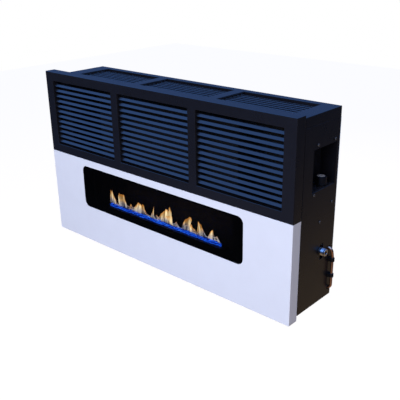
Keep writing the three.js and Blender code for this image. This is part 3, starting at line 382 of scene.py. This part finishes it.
def dressed(node, material, fold=0.0016, cut=0.0002, body="case", broad=1.2 * SHEET):
    """A copy of a solid with its folds rounded and its cut edges broken, by widths in metres.

    A fold is a corner between two faces that are both broader than that.
    """
    bm = bmesh.new()
    bm.from_mesh(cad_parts[node].data)
    bmesh.ops.remove_doubles(bm, verts=bm.verts, dist=WELD)
    bmesh.ops.dissolve_limit(
        bm,
        angle_limit=FLAT_ANGLE,
        use_dissolve_boundaries=False,
        verts=bm.verts,
        edges=bm.edges,
        delimit=set(),
    )
    bmesh.ops.triangulate(bm, faces=[face for face in bm.faces if len(face.verts) > 4])
    bm.loops.layers.float_color.new("edge")
    if fold:
        folds = [edge for edge in corners(bm) if min(map(breadth, edge.link_faces)) > broad]
        round_edges(bm, folds, fold, 3)
    if cut:
        round_edges(bm, [edge for edge in corners(bm) if edge.calc_length() > 2 * cut], cut, 1)
    return finished(f"{node}_dressed", bm, material, body, node)


COAT_SHADES = ((0.0026, 0.0024, 0.0038), (0.0044, 0.0041, 0.0062), (0.007, 0.007, 0.010))
black_coat = powder_coat("black_powder_coat", *COAT_SHADES, 0.34)
for node in ("upper_fascia", "top_cover", "side_panel_left", "side_panel_right", "bottom_panel"):
    dressed(node, black_coat)
# The recess's upward faces are painted paler: dust, and painted light for the light that reaches its
# floor.
dusty_painted_light_coat = powder_coat("dusty_painted_light_powder_coat", *COAT_SHADES, 0.44, dust_and_painted_light=(0.052, 0.048, 0.056))
dressed("control_recess", dusty_painted_light_coat)
slat_coat = powder_coat("slat_powder_coat", *COAT_SHADES, 0.30, lean=0.12, shine=1.0)
for side in ("left", "centre", "right"):
    dressed(f"front_louvre_{side}", black_coat, fold=0.0008)
    dressed(f"top_louvre_{side}", slat_coat, fold=0.0)

# ---- White fascia ----
# The lower fascia is the same folded tray, powder coated a slightly cool gloss white, with a long
# window cut in its face by a punch, so that the edge of the cut is crisp.
WHITE_SHADES = ((0.660, 0.705, 0.860), (0.680, 0.725, 0.885), (0.58, 0.61, 0.74))
white_coat = powder_coat("white_powder_coat", *WHITE_SHADES, 0.38, peel=0.000002)
dressed("lower_fascia", white_coat)

# ---- Window ----
# A pane of dark heat-resisting glass behind the cut-out, on a woven rope seal, held by a clamp
# frame with feet. The glass shows little but the flames behind it: light passes two faces of the
# pane, so that its Alpha acts twice.
glass_recipe = Recipe(bpy.data.materials.new("dark_window_glass"))
smear = grain(glass_recipe, 9.0, 3.0)
window_glass = glass_recipe.shade(
    {
        "Base Color": glass_recipe.blend(smear, (0.0003, 0.0003, 0.0004), (0.0009, 0.0009, 0.0011)),
        "Roughness": 0.03 + 0.05 * smear,
        "Specular IOR Level": 0.03,
        "Alpha": 0.70 + 0.02 * smear,
    }
)
dressed("window_glass", window_glass, fold=0.0, cut=0.0004)


def woven(name, dark, pale, rate, depth):
    """Twisted yarn: slanting ridges, with fuzz."""
    recipe = Recipe(bpy.data.materials.new(name))
    ridges = recipe.node(
        "ShaderNodeTexWave",
        {"wave_type": "BANDS", "bands_direction": "DIAGONAL"},
        {"Vector": recipe.place(), "Scale": rate, "Distortion": 2.0, "Detail": 2.0},
        out="Fac",
    )
    fuzz = grain(recipe, 900.0, 4.0)
    return recipe.shade(
        {
            "Base Color": recipe.blend(0.6 * ridges + 0.4 * fuzz, dark, pale),
            "Roughness": 0.95,
            "Normal": relief(recipe, ridges + 0.4 * fuzz, depth),
        }
    )


rope_seal = woven("rope_seal", (0.030, 0.029, 0.027), (0.085, 0.082, 0.075), 160.0, 0.0004)
dressed("glass_gasket", rope_seal, fold=0.0008, cut=0.0)


# ---- Firebox and ducts ----
# Mild steel boxes under a matt black heat-resisting coat, greyed and browned a little where the
# flames and the hot gas pass.
def heat_coat(name, dark, greyed):
    """Matt paint with a soft haze and a fine grit."""
    recipe = Recipe(bpy.data.materials.new(name))
    haze = grain(recipe, 12.0, 6.0, 0.65)
    grit = grain(recipe, 1400.0, 2.0)
    return recipe.shade(
        {
            "Base Color": recipe.blend(haze * 0.9 + 0.25 * edge_mask(recipe), dark, greyed),
            "Roughness": 0.72 + 0.2 * (haze - 0.5),
            "Normal": relief(recipe, grit, 0.000006),
        }
    )


heat_black = heat_coat("heat_resisting_black", (0.003, 0.003, 0.003), (0.009, 0.008, 0.007))
for node in (
    "glass_clamp_frame",
    "firebox",
    "heat_riser",
    "heat_baffle",
    "rear_heat_shield",
    "firebox_support_left",
    "firebox_support_right",
):
    dressed(node, heat_black, fold=0.0012)


# ---- Bare steel ----
# The back and the brackets of the gas parts are zinc coated sheet, left bare: large dull spangles
# in slightly different greys.
def spangled(name, dark, pale):
    """Zinc with a random shade on each spangle and soft clouds over them."""
    recipe = Recipe(bpy.data.materials.new(name))
    cells = recipe.node(
        "ShaderNodeTexVoronoi", sockets={"Vector": recipe.place(), "Scale": 85.0}, out="Color"
    )
    shade = recipe.node("ShaderNodeSeparateColor", sockets={0: cells}, out="Red")
    cloud = grain(recipe, 24.0, 4.0)
    return recipe.shade(
        {
            "Base Color": recipe.blend(0.6 * shade + 0.4 * cloud, dark, pale),
            "Metallic": 0.9,
            "Roughness": 0.36 + 0.2 * shade + 0.1 * (cloud - 0.5),
            "Normal": relief(recipe, grain(recipe, 300.0, 3.0), 0.000008),
        }
    )


zinc = spangled("spangled_zinc", (0.36, 0.37, 0.38), (0.60, 0.61, 0.62))
for node in ("rear_panel", "injector_bracket", "valve_bracket"):
    dressed(node, zinc, fold=0.0012)


# ---- Burner ----
# A ribbon burner pressed from stainless steel on two folded saddles, with the pilot and its
# bracket beside it. Heat and soot have browned them all.
def brushed(name, dark, pale, stained, roughness, along=(1.0, 14.0, 14.0)):
    """Metal with fine lines drawn along it and soft stains."""
    recipe = Recipe(bpy.data.materials.new(name))
    lines = grain(recipe, 160.0, 3.0, 0.6, stretch=along)
    stain = grain(recipe, 18.0, 4.0, 0.6)
    metal = recipe.blend(lines, dark, pale)
    return recipe.shade(
        {
            "Base Color": recipe.blend((stain - 0.42) * 1.6, metal, stained),
            "Metallic": 1.0,
            "Roughness": roughness + 0.18 * (lines - 0.5) + 0.12 * (stain - 0.5),
            "Normal": relief(recipe, lines, 0.000006),
        }
    )


HOT_SHADES = ((0.05, 0.048, 0.047), (0.10, 0.094, 0.09), (0.04, 0.03, 0.026))
hot_steel = brushed("heat_tinted_steel", *HOT_SHADES, 0.5)
for node in ("burner", "burner_saddle_left", "burner_saddle_right", "pilot_burner", "pilot_bracket"):
    dressed(node, hot_steel, fold=0.0006, cut=0.00015)

# ---- Flames ----
# A row of gas flames along the burner: a low ribbon of deep blue, and a ragged curtain over it
# with tongues of uneven height, cream inside and orange at its rim. Each is two thin wavy sheets,
# bright enough to be seen through the dark pane.
FLAME_LINE = -0.172
FLAME_ROOT = -0.3365
RIBBON_HALF = 0.2415
RIBBON_HEIGHT = 0.0112
THROUGH_GLASS = 12.5


def glowing(colour, alpha):
    """A gas that only gives light, from the recipe that its colour belongs to."""
    recipe = colour.recipe
    return recipe.shade(
        {
            "Base Color": (*DARK, 1.0),
            "Roughness": 1.0,
            "Specular IOR Level": 0.0,
            "Emission Color": colour,
            "Emission Strength": THROUGH_GLASS,
            "Alpha": alpha,
        }
    )


def sheet_place(recipe):
    """The sheet's own UV map, from 0 to 1 along it and up it."""
    return recipe.node("ShaderNodeUVMap", {"uv_map": "UVMap"})


def on_sheet(recipe, across, up):
    """Noise with this many grains along and up the sheet."""
    scale = (across, up, 1.0)
    place = recipe.node("ShaderNodeMapping", sockets={"Vector": sheet_place(recipe), "Scale": scale})
    sockets = {"Vector": place, "Scale": 1.0, "Detail": 2.0, "Roughness": 0.5}
    return recipe.node("ShaderNodeTexNoise", sockets=sockets)


def ribbon_finish():
    """Deep blue, with wandering lines of bright blue along it."""
    recipe = Recipe(bpy.data.materials.new("flame_ribbon"))
    up = recipe.part(sheet_place(recipe), "Y")
    wander = up + 1.1 * (on_sheet(recipe, 30.0, 1.2) - 0.5)
    wave = recipe.node("ShaderNodeMath", {"operation": "SINE"}, {0: 13.0 * wander})
    deep = recipe.blend(on_sheet(recipe, 11.0, 1.0), (0.001, 0.006, 0.11), (0.001, 0.018, 0.30))
    lined = recipe.blend(recipe.between(wave, 0.10, 0.95), deep, (0.012, 0.120, 0.88))
    hot = recipe.between(on_sheet(recipe, 19.0, 3.0), 0.60, 0.72) * recipe.between(up, 0.2, 0.6)
    glow = recipe.blend(hot, lined, (0.06, 0.30, 1.00))
    return glowing(glow, recipe.between(up, 1.0, 0.80) * 0.96)


def curtain_finish():
    """Gas lit from inside: grey and thin at its foot, then cream, and orange along its crest.

    Heights over the burner and depths below the crest are in metres.
    """
    recipe = Recipe(bpy.data.materials.new("flame_curtain"))
    up = recipe.part(sheet_place(recipe), "Y")
    climb = recipe.part(recipe.place(), "Z") - FLAME_ROOT
    below_crest = climb / up - climb
    streak = on_sheet(recipe, 62.0, 0.7)
    patch = on_sheet(recipe, 15.0, 0.4)
    core = recipe.between(streak, 0.42, 0.60)
    lit = recipe.between(climb + 0.06 * (patch - 0.5), 0.013, 0.030)
    rim = recipe.between(below_crest + 0.010 * (streak - 0.5), 0.012, 0.002)
    body = recipe.blend(core, (0.46, 0.28, 0.10), (1.10, 0.88, 0.50))
    orange = recipe.blend(streak, (0.46, 0.15, 0.015), (0.80, 0.35, 0.06))
    high = recipe.blend(rim * 0.9, body, orange)
    low = recipe.blend(core, (0.16, 0.17, 0.25), (0.52, 0.48, 0.46))
    thin = recipe.blend(recipe.between(below_crest, 0.0035, 0.0008), low, (0.40, 0.42, 0.50))
    glow = recipe.blend(lit, thin, high)
    body_veil = 0.10 + 0.42 * core + 0.44 * lit
    crest_veil = 0.85 * recipe.between(below_crest, 0.004, 0.001)
    veil = recipe.node("ShaderNodeMath", {"operation": "MAXIMUM"}, {0: body_veil, 1: crest_veil})
    ends = recipe.between(climb, 0.0085, 0.0130) * recipe.between(below_crest, 0.0, 0.0012)
    return glowing(glow, veil * ends)


def flame_sheet(name, material, columns, rows, place):
    """A sheet whose points go where place(across, up) says, both from 0 to 1."""
    bm = bmesh.new()
    layer = bm.loops.layers.uv.new("UVMap")
    bmesh.ops.create_grid(bm, x_segments=columns, y_segments=rows, size=0.5)
    for face in bm.faces:
        for loop in face.loops:
            loop[layer].uv = (loop.vert.co.x + 0.5, loop.vert.co.y + 0.5)
    for vert in bm.verts:
        vert.co = place(vert.co.x + 0.5, vert.co.y + 0.5)
    finished(name, bm, material)


# The top of the curtain in millimetres: where a streak of gas starts, where it ends, and how high
# over the burner it ends.
CREST = (
    (-243, -244, 13), (-242, -241, 36), (-241, -240, 55), (-236, -236, 49), (-230, -230, 57),
    (-225, -226, 40), (-218, -218, 28), (-208, -207, 15), (-200, -199, 15), (-197, -199, 49),
    (-190, -190, 55), (-178, -177, 55), (-171, -171, 50), (-168, -169, 36), (-163, -164, 20),
    (-152, -153, 17), (-143, -142, 31), (-136, -135, 25), (-124, -123, 23), (-112, -110, 40),
    (-103, -101, 46), (-94, -92, 40), (-84, -80, 45), (-76, -76, 28), (-66, -66, 17),
    (-53, -52, 13), (-44, -43, 29), (-39, -35, 50), (-36, -36, 33), (-31, -33, 22),
    (-24, -24, 13), (-18, -20, 28), (-11, -10, 22), (-4, 0, 35), (8, 12, 51),
    (16, 19, 55), (23, 26, 52), (32, 33, 62), (38, 40, 66), (44, 44, 57),
    (46, 44, 34), (49, 49, 16), (58, 57, 20), (64, 63, 28), (70, 70, 17),
    (80, 80, 11), (87, 87, 14), (93, 94, 34), (98, 103, 45), (104, 118, 57),
    (110, 127, 53), (112, 116, 37), (118, 121, 30), (128, 129, 26), (140, 141, 23),
    (147, 147, 15), (153, 155, 38), (159, 159, 55), (166, 166, 48), (171, 172, 34),
    (180, 180, 16), (188, 188, 15), (195, 196, 28), (204, 206, 43), (212, 212, 36),
    (216, 217, 23), (226, 226, 27), (236, 236, 15), (244, 243, 4),
)


def curtain(offset, share, wave):
    """The shape of one curtain, offset from the line of the burner, in millimetres.

    It has that share of the crest's height, and its waves start at that angle.
    """

    def place(across, up):
        at = across * (len(CREST) - 1)
        first = min(int(at), len(CREST) - 2)
        part = at - first
        ease = part * part * (3 - 2 * part)
        pairs = zip(CREST[first], CREST[first + 1])
        foot, tip, tall = (here + (there - here) * ease for here, there in pairs)
        sway = 1.4 * math.sin(wave + 0.11 * foot) * up
        flicker = 1 + 0.05 * math.sin(0.55 * foot + 3 * wave) * math.sin(0.19 * foot + wave)
        lean = 0.03 * tall * math.sin(0.31 * foot + wave) * up * up
        return (
            (foot + (tip - foot) * up**1.4 + 0.6 * sway + lean) / 1000,
            FLAME_LINE + (offset + 2.0 * math.sin(0.07 * foot + wave) + sway) / 1000,
            FLAME_ROOT + tall * share * flicker * up / 1000,
        )

    return place


curtain_glow = curtain_finish()
flame_sheet("flame_curtain_front", curtain_glow, 420, 16, curtain(0.0, 1.0, 0.0))
flame_sheet("flame_curtain_back", curtain_glow, 420, 12, curtain(2.5, 0.62, 2.0))


def ribbon(offset, phase):
    """The shape of one blue ribbon, offset from the line of the burner, in millimetres."""

    def place(across, up):
        along = RIBBON_HALF * (2 * across - 1)
        wave = math.sin(61 * along + phase) + 0.6 * math.sin(143 * along + 2.1 * phase)
        swell = math.sin(90 * along + phase)
        height = RIBBON_HEIGHT * (1 + 0.12 * wave)
        return along, FLAME_LINE + (offset + swell) / 1000, FLAME_ROOT + height * up

    return place


ribbon_glow = ribbon_finish()
flame_sheet("flame_ribbon_front", ribbon_glow, 160, 6, ribbon(-2.0, 0.4))
flame_sheet("flame_ribbon_back", ribbon_glow, 160, 6, ribbon(2.0, 1.9))

# ---- Control knob ----
# A moulded black plastic knob on a brass spindle, with a rounded rim and a pointer groove, and a pale
# disc painted in its top as a highlight. It is pushed down against a spring and turned.
KNOB_AXIS = (0.4805, -0.05, 0.0)
KNOB_TOP = -0.1002
# The painted highlight on the knob's top: the radius and soft edge of its disc, and its two shades.
PAINTED_HIGHLIGHT_RADIUS = 0.0105
PAINTED_HIGHLIGHT_EDGE = 0.0002
PAINTED_HIGHLIGHT_SHADES = ((0.45, 0.45, 0.48), (0.92, 0.92, 0.94))


def moulded(name, dark, pale, roughness, painted_highlight=False):
    """Moulded plastic with a fine spark-eroded grain. The knob gets a pale disc on its top, a painted
    highlight with faint rings and a little metal sheen.
    """
    recipe = Recipe(bpy.data.materials.new(name))
    fine = grain(recipe, 1800.0, 2.0)
    wear = grain(recipe, 60.0, 4.0)
    colour = recipe.blend(wear + 0.4 * edge_mask(recipe), dark, pale)
    rough = roughness + 0.14 * (wear - 0.5)
    sockets = {"Base Color": colour, "Roughness": rough, "Normal": relief(recipe, fine, 0.000004)}
    if painted_highlight:
        # A pale disc on the knob's top, painted in as a highlight.
        place = recipe.place()
        from_axis = recipe.node(
            "ShaderNodeVectorMath",
            {"operation": "MULTIPLY_ADD"},
            {0: place, 1: (1, 1, 0), 2: (-KNOB_AXIS[0], -KNOB_AXIS[1], 0)},
        )
        reach = recipe.node("ShaderNodeVectorMath", {"operation": "LENGTH"}, {0: from_axis}, out="Value")
        inside = recipe.between(reach, PAINTED_HIGHLIGHT_RADIUS, PAINTED_HIGHLIGHT_RADIUS - PAINTED_HIGHLIGHT_EDGE)
        painted_highlight_disc = inside * recipe.between(recipe.part(place, "Z"), KNOB_TOP - PAINTED_HIGHLIGHT_EDGE, KNOB_TOP)
        rings = recipe.node(
            "ShaderNodeTexNoise",
            sockets={"Vector": 1000.0 * reach, "Scale": 1.1, "Detail": 3.0, "Roughness": 0.6},
        )
        sockets["Base Color"] = recipe.blend(painted_highlight_disc, colour, recipe.blend(rings, *PAINTED_HIGHLIGHT_SHADES))
        sockets["Roughness"] = rough + painted_highlight_disc * 0.1
        sockets["Metallic"] = painted_highlight_disc * 0.2
    return recipe.shade(sockets)


BLACKS = ((0.0016, 0.0016, 0.0021), (0.0036, 0.0036, 0.0046))
knob_finish = moulded("knob_plastic_and_painted_highlight", *BLACKS, 0.40, painted_highlight=True)
dressed("control_knob", knob_finish, fold=0.0, cut=0.0005, body="knob")

# ---- Clips and igniter ----
# Clips moulded from black plastic hold the copper pipe off the side of the case. The body of the
# igniter, inside the case, is moulded from the same plastic.
black_plastic = moulded("moulded_black_plastic", *BLACKS, 0.36)
for node in ("pipe_clip_upper", "pipe_clip_lower", "piezo_igniter"):
    dressed(node, black_plastic, fold=0.0006, cut=0.0003, broad=0.0019)

# ---- Brass ----
# Turned and milled brass, with fine tool lines and soft brown stains: the spindle, the push rod,
# the union nuts and the injector.
brass = brushed("machined_brass", (0.55, 0.38, 0.15), (0.76, 0.56, 0.26), (0.30, 0.19, 0.08), 0.28)
for node, body in (
    ("injector", "case"),
    ("inlet_nut", "case"),
    ("supply_nut", "case"),
    ("knob_spindle", "knob"),
    ("valve_push_rod", "stem"),
):
    dressed(node, brass, fold=0.0, cut=0.0003, body=body)

# ---- Gas inlet ----
# A bright nickelled nipple with an outside thread, and its locknut inside the case. The thread is a
# row of ridges. The profile of the nipple is in millimetres.
SEAM = 1e-6


def turned(profile, centre, steps=72, axis=(0, 0, 1)):
    """Spins a closed profile of (radius, distance along the axis), in millimetres."""
    bm = bmesh.new()
    bm.loops.layers.float_color.new("edge")
    side = Vector((1, 0, 0)) if axis[2] else Vector((0, 0, 1))
    along = Vector(axis)
    middle = Vector(centre)
    points = [
        bm.verts.new(middle + side * radius / 1000 + along * distance / 1000)
        for radius, distance in profile
    ]
    edges = [bm.edges.new(pair) for pair in zip(points, points[1:])]
    if profile[0][0] > 0:
        edges.append(bm.edges.new((points[-1], points[0])))
    bmesh.ops.spin(
        bm,
        geom=points + edges,
        cent=middle,
        axis=along,
        angle=2 * math.pi,
        steps=steps,
        use_merge=True,
    )
    bmesh.ops.remove_doubles(bm, verts=bm.verts, dist=SEAM)
    bmesh.ops.recalc_face_normals(bm, faces=bm.faces)
    return bm


nickel = brushed("bright_nickel", (0.60, 0.61, 0.63), (0.78, 0.79, 0.81), (0.42, 0.40, 0.37), 0.16)
INLET_AXIS = (0.0, -0.0585, -0.3105)
NIPPLE_TAIL, NIPPLE_FACE, NIPPLE_END = 476.2, 500.3, 514.3
NIPPLE_BORE, TAIL_RADIUS, THREAD_RADIUS = 5.0, 6.5, 10.5
BACK_CHAMFER, FRONT_CHAMFER, BORE_CHAMFER = 0.4, 1.0, 0.5
THREAD_PITCH, THREAD_DEPTH, THREAD_MARGIN, THREADS = 1.8, 0.9, 2.0, 5
nipple = [
    (NIPPLE_BORE, NIPPLE_TAIL),
    (TAIL_RADIUS, NIPPLE_TAIL),
    (TAIL_RADIUS, NIPPLE_FACE),
    (THREAD_RADIUS - BACK_CHAMFER, NIPPLE_FACE),
    (THREAD_RADIUS, NIPPLE_FACE + BACK_CHAMFER),
]
for turn in range(THREADS):
    crest = NIPPLE_FACE + THREAD_MARGIN + turn * THREAD_PITCH
    nipple += [
        (THREAD_RADIUS, crest),
        (THREAD_RADIUS - 0.75 * THREAD_DEPTH, crest + 0.4 * THREAD_PITCH),
        (THREAD_RADIUS - THREAD_DEPTH, crest + 0.5 * THREAD_PITCH),
        (THREAD_RADIUS - 0.75 * THREAD_DEPTH, crest + 0.6 * THREAD_PITCH),
    ]
nipple += [
    (THREAD_RADIUS, NIPPLE_END - THREAD_MARGIN),
    (THREAD_RADIUS, NIPPLE_END - FRONT_CHAMFER),
    (THREAD_RADIUS - FRONT_CHAMFER, NIPPLE_END),
    (NIPPLE_BORE + BORE_CHAMFER, NIPPLE_END),
    (NIPPLE_BORE, NIPPLE_END - BORE_CHAMFER),
]
threaded = turned(nipple, INLET_AXIS, axis=(1, 0, 0))
finished("inlet_nipple", threaded, nickel, replaces="inlet_fitting")
dressed("inlet_locknut", nickel, fold=0.0, cut=0.0004)


# ---- Pipes ----
# Drawn tube bent cold: the copper supply pipe that comes out of the case and runs down its back
# edge, the pilot tube, the thermocouple and the steel inlet pipe. The thin ignition lead has a
# black sheath. Routes are in millimetres.
BEND = 12.0
BEND_STEPS = 10


def verts_of(geom):
    return [part for part in geom if isinstance(part, bmesh.types.BMVert)]


def edges_of(geom):
    return [part for part in geom if isinstance(part, bmesh.types.BMEdge)]


def bent_tube(route, radius, sides):
    """Pushes a ring along straight runs and spins it round each bend."""
    points = [Vector(point) / 1000 for point in route]
    radius, bend = radius / 1000, BEND / 1000
    bm = bmesh.new()
    bm.loops.layers.float_color.new("edge")
    heading = (points[1] - points[0]).normalized()
    start = Matrix.Translation(points[0]) @ heading.to_track_quat("Z", "Y").to_matrix().to_4x4()
    bmesh.ops.create_circle(bm, cap_ends=True, radius=radius, segments=sides, matrix=start)
    ring = bm.edges[:]
    here = points[0]
    for index in range(1, len(points)):
        run = (points[index] - points[index - 1]).normalized()
        last = index == len(points) - 1
        after = run if last else (points[index + 1] - points[index]).normalized()
        trim = 0.0 if last else bend * math.tan(run.angle(after) / 2)
        stop = points[index] - run * trim
        pushed = bmesh.ops.extrude_edge_only(bm, edges=ring)["geom"]
        bmesh.ops.translate(bm, verts=verts_of(pushed), vec=stop - here)
        ring = edges_of(pushed)
        here = stop
        if last:
            break
        pivot_way = (after - run * after.dot(run)).normalized()
        swung = bmesh.ops.spin(
            bm,
            geom=list({vert for edge in ring for vert in edge.verts}) + ring,
            cent=here + pivot_way * bend,
            axis=run.cross(after).normalized(),
            angle=run.angle(after),
            steps=BEND_STEPS,
        )["geom_last"]
        ring = edges_of(swung)
        here = points[index] + after * trim
    bmesh.ops.contextual_create(bm, geom=ring)
    bmesh.ops.remove_doubles(bm, verts=bm.verts, dist=SEAM)
    bmesh.ops.recalc_face_normals(bm, faces=bm.faces)
    return bm


COPPER_SHADES = ((0.80, 0.39, 0.21), (0.96, 0.58, 0.38), (0.40, 0.16, 0.08))
copper = brushed("drawn_copper", *COPPER_SHADES, 0.32, along=(14.0, 14.0, 1.0))
SUPPLY_RADIUS = 4.0
SUPPLY_ROUTE = (
    (470, -34, -184.8),
    (470, -34, -275),
    (470, -19, -313),
    (508.5, -19, -313),
    (508.5, -11.5, -340),
    (508.5, -11.5, -440),
    (440, -11.5, -440),
    (440, -172, -440),
    (440, -172, -362.3),
)
supply = bent_tube(SUPPLY_ROUTE, SUPPLY_RADIUS, sides=24)
finished("supply_pipe_drawn", supply, copper, replaces="supply_pipe")
drawn_steel = brushed("drawn_steel", (0.40, 0.41, 0.42), (0.58, 0.59, 0.60), (0.30, 0.29, 0.27), 0.34)
INLET_RADIUS = 6.0
INLET_ROUTE = ((475.9, -58.5, -310.5), (455, -58.5, -310.5), (455, -58.5, -184.8))
feed = bent_tube(INLET_ROUTE, INLET_RADIUS, sides=28)
finished("inlet_pipe_drawn", feed, drawn_steel, replaces="inlet_pipe")
for node in ("pilot_tube", "thermocouple"):
    dressed(node, copper, fold=0.0, cut=0.0)
dressed("ignition_lead", black_plastic, fold=0.0, cut=0.0)


# ---- Gas valve and spark electrode ----
# The valve body is a zinc die casting, sand-matt with machined faces; the electrode is a glazed
# ceramic stem with a wire, darkened by soot.
def cast(name, dark, pale):
    """Metal with the grain of the sand."""
    recipe = Recipe(bpy.data.materials.new(name))
    sand = grain(recipe, 700.0, 4.0, 0.6)
    cloud = grain(recipe, 30.0, 4.0)
    return recipe.shade(
        {
            "Base Color": recipe.blend(cloud, dark, pale),
            "Metallic": 0.85,
            "Roughness": 0.46 + 0.2 * (cloud - 0.5),
            "Normal": relief(recipe, sand, 0.00002),
        }
    )


die_cast = cast("die_cast_zinc", (0.34, 0.34, 0.35), (0.50, 0.50, 0.51))
dressed("gas_valve", die_cast, fold=0.0012)


def glazed(name, dark, pale):
    """A shiny glaze with specks of soot."""
    recipe = Recipe(bpy.data.materials.new(name))
    speck = grain(recipe, 240.0, 5.0)
    return recipe.shade(
        {
            "Base Color": recipe.blend(speck, dark, pale),
            "Roughness": 0.18 + 0.1 * speck,
            "Normal": relief(recipe, speck, 0.00001),
        }
    )


ceramic = glazed("sooted_ceramic", (0.05, 0.048, 0.044), (0.12, 0.115, 0.10))
dressed("spark_electrode", ceramic, fold=0.0, cut=0.0)

# ---- Knob spring ----
# A coil of spring wire round the spindle, between the floor of the recess and the hub of the knob.
# It shortens as the knob is pushed. Its sizes are in millimetres.
SPRING_WIRE = 1.0
SPRING_RADIUS = 5.9
SPRING_FOOT, SPRING_HEAD = -125.2, -115.8
COILS = 4
STEPS_PER_COIL = 20


def coil():
    """Spins a small ring round the knob's axis while it climbs."""
    bm = bmesh.new()
    bm.loops.layers.float_color.new("edge")
    foot = Vector((KNOB_AXIS[0] + SPRING_RADIUS / 1000, KNOB_AXIS[1], SPRING_FOOT / 1000))
    start = Matrix.Translation(foot) @ Matrix.Rotation(math.pi / 2, 4, "X")
    bmesh.ops.create_circle(bm, cap_ends=True, radius=SPRING_WIRE / 2000, segments=8, matrix=start)
    steps = STEPS_PER_COIL * COILS
    swung = bmesh.ops.spin(
        bm,
        geom=bm.verts[:] + bm.edges[:],
        cent=KNOB_AXIS,
        axis=(0, 0, 1),
        dvec=(0, 0, (SPRING_HEAD - SPRING_FOOT) / 1000 / steps),
        angle=2 * math.pi * COILS,
        steps=steps,
    )["geom_last"]
    bmesh.ops.contextual_create(bm, geom=edges_of(swung))
    bmesh.ops.recalc_face_normals(bm, faces=bm.faces)
    return bm


spring = finished("knob_spring_coil", coil(), drawn_steel, replaces="knob_spring")
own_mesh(spring)


# ---- Screws ----
# Pan head screws with a cross recess: blackened ones on the side panel, and plain steel ones
# inside that hold the fascias. Their sizes and places are in millimetres.
HEAD_RADIUS, HEAD_RIM, HEAD_HEIGHT = 4.0, 0.9, 2.2
DOME = ((3.75, 1.45), (3.2, 1.9), (2.5, HEAD_HEIGHT))
SHANK_RADIUS, SHANK_LENGTH, SHANK_POINT = 2.0, 9.0, 1.0
SLOT_REACH, SLOT_HALF, SLOT_DEPTH = 2.0, 0.42, 1.1


def screw(centre, axis, turn):
    """A spun shank and head, whose flat top is bridged to a cross that is then pushed in."""
    profile = [
        (0, -SHANK_LENGTH),
        (SHANK_RADIUS, SHANK_POINT - SHANK_LENGTH),
        (SHANK_RADIUS, 0),
        (HEAD_RADIUS, 0),
        (HEAD_RADIUS, HEAD_RIM),
        *DOME,
    ]
    bm = turned(profile, (0, 0, 0), 32)
    rim = [edge for edge in bm.edges if edge.is_boundary]
    cross = bmesh.ops.create_circle(bm, cap_ends=False, radius=SLOT_REACH / 1000, segments=12)["verts"]
    outline = []
    for quarter in range(4):
        for along, across in ((SLOT_REACH, -SLOT_HALF), (SLOT_REACH, SLOT_HALF), (SLOT_HALF, SLOT_HALF)):
            corner = Vector((along, across, HEAD_HEIGHT)) / 1000
            outline.append(Matrix.Rotation(quarter * math.pi / 2, 3, "Z") @ corner)
    cross.sort(key=lambda vert: math.atan2(vert.co.y, vert.co.x) % (2 * math.pi))
    outline.sort(key=lambda corner: math.atan2(corner.y, corner.x) % (2 * math.pi))
    for vert, corner in zip(cross, outline):
        vert.co = corner
    slot_edges = [edge for edge in bm.edges if edge.is_wire]
    bmesh.ops.bridge_loops(bm, edges=rim + slot_edges)
    pushed = bmesh.ops.extrude_edge_only(bm, edges=slot_edges)["geom"]
    bmesh.ops.translate(bm, verts=verts_of(pushed), vec=(0, 0, -SLOT_DEPTH / 1000))
    bmesh.ops.contextual_create(bm, geom=edges_of(pushed))
    bmesh.ops.recalc_face_normals(bm, faces=bm.faces)
    facing = Vector(axis).to_track_quat("Z", "Y").to_matrix().to_4x4()
    placed = Matrix.Translation(Vector(centre) / 1000) @ facing
    bm.transform(placed @ Matrix.Rotation(turn, 4, "Z"))
    return bm


SCREW_SHADES = ((0.016, 0.016, 0.018), (0.030, 0.030, 0.033), (0.08, 0.08, 0.09))
blackened = powder_coat("blackened_screws", *SCREW_SHADES, 0.30)
random.seed(4)
CASE_SIDE, FASCIA_SEAT = 500.3, -161.9
SIDE_SCREWS = ((-103, -1), (-23, -2), (-112, -132), (-21, -176), (-76, -218))
for number, (y, z) in enumerate(SIDE_SCREWS):
    finished(
        f"side_screw_{number + 1}_head",
        screw((CASE_SIDE, y, z), (1, 0, 0), random.uniform(0, math.pi)),
        blackened,
        replaces=f"side_screw_{number + 1}",
    )
for level, z in (("upper", -30), ("lower", -330)):
    for side, x in (("left", -436), ("right", 490)):
        finished(
            f"fascia_screw_{level}_{side}_head",
            screw((x, FASCIA_SEAT, z), (0, 1, 0), random.uniform(0, math.pi)),
            drawn_steel,
            replaces=f"fascia_screw_{level}_{side}",
        )
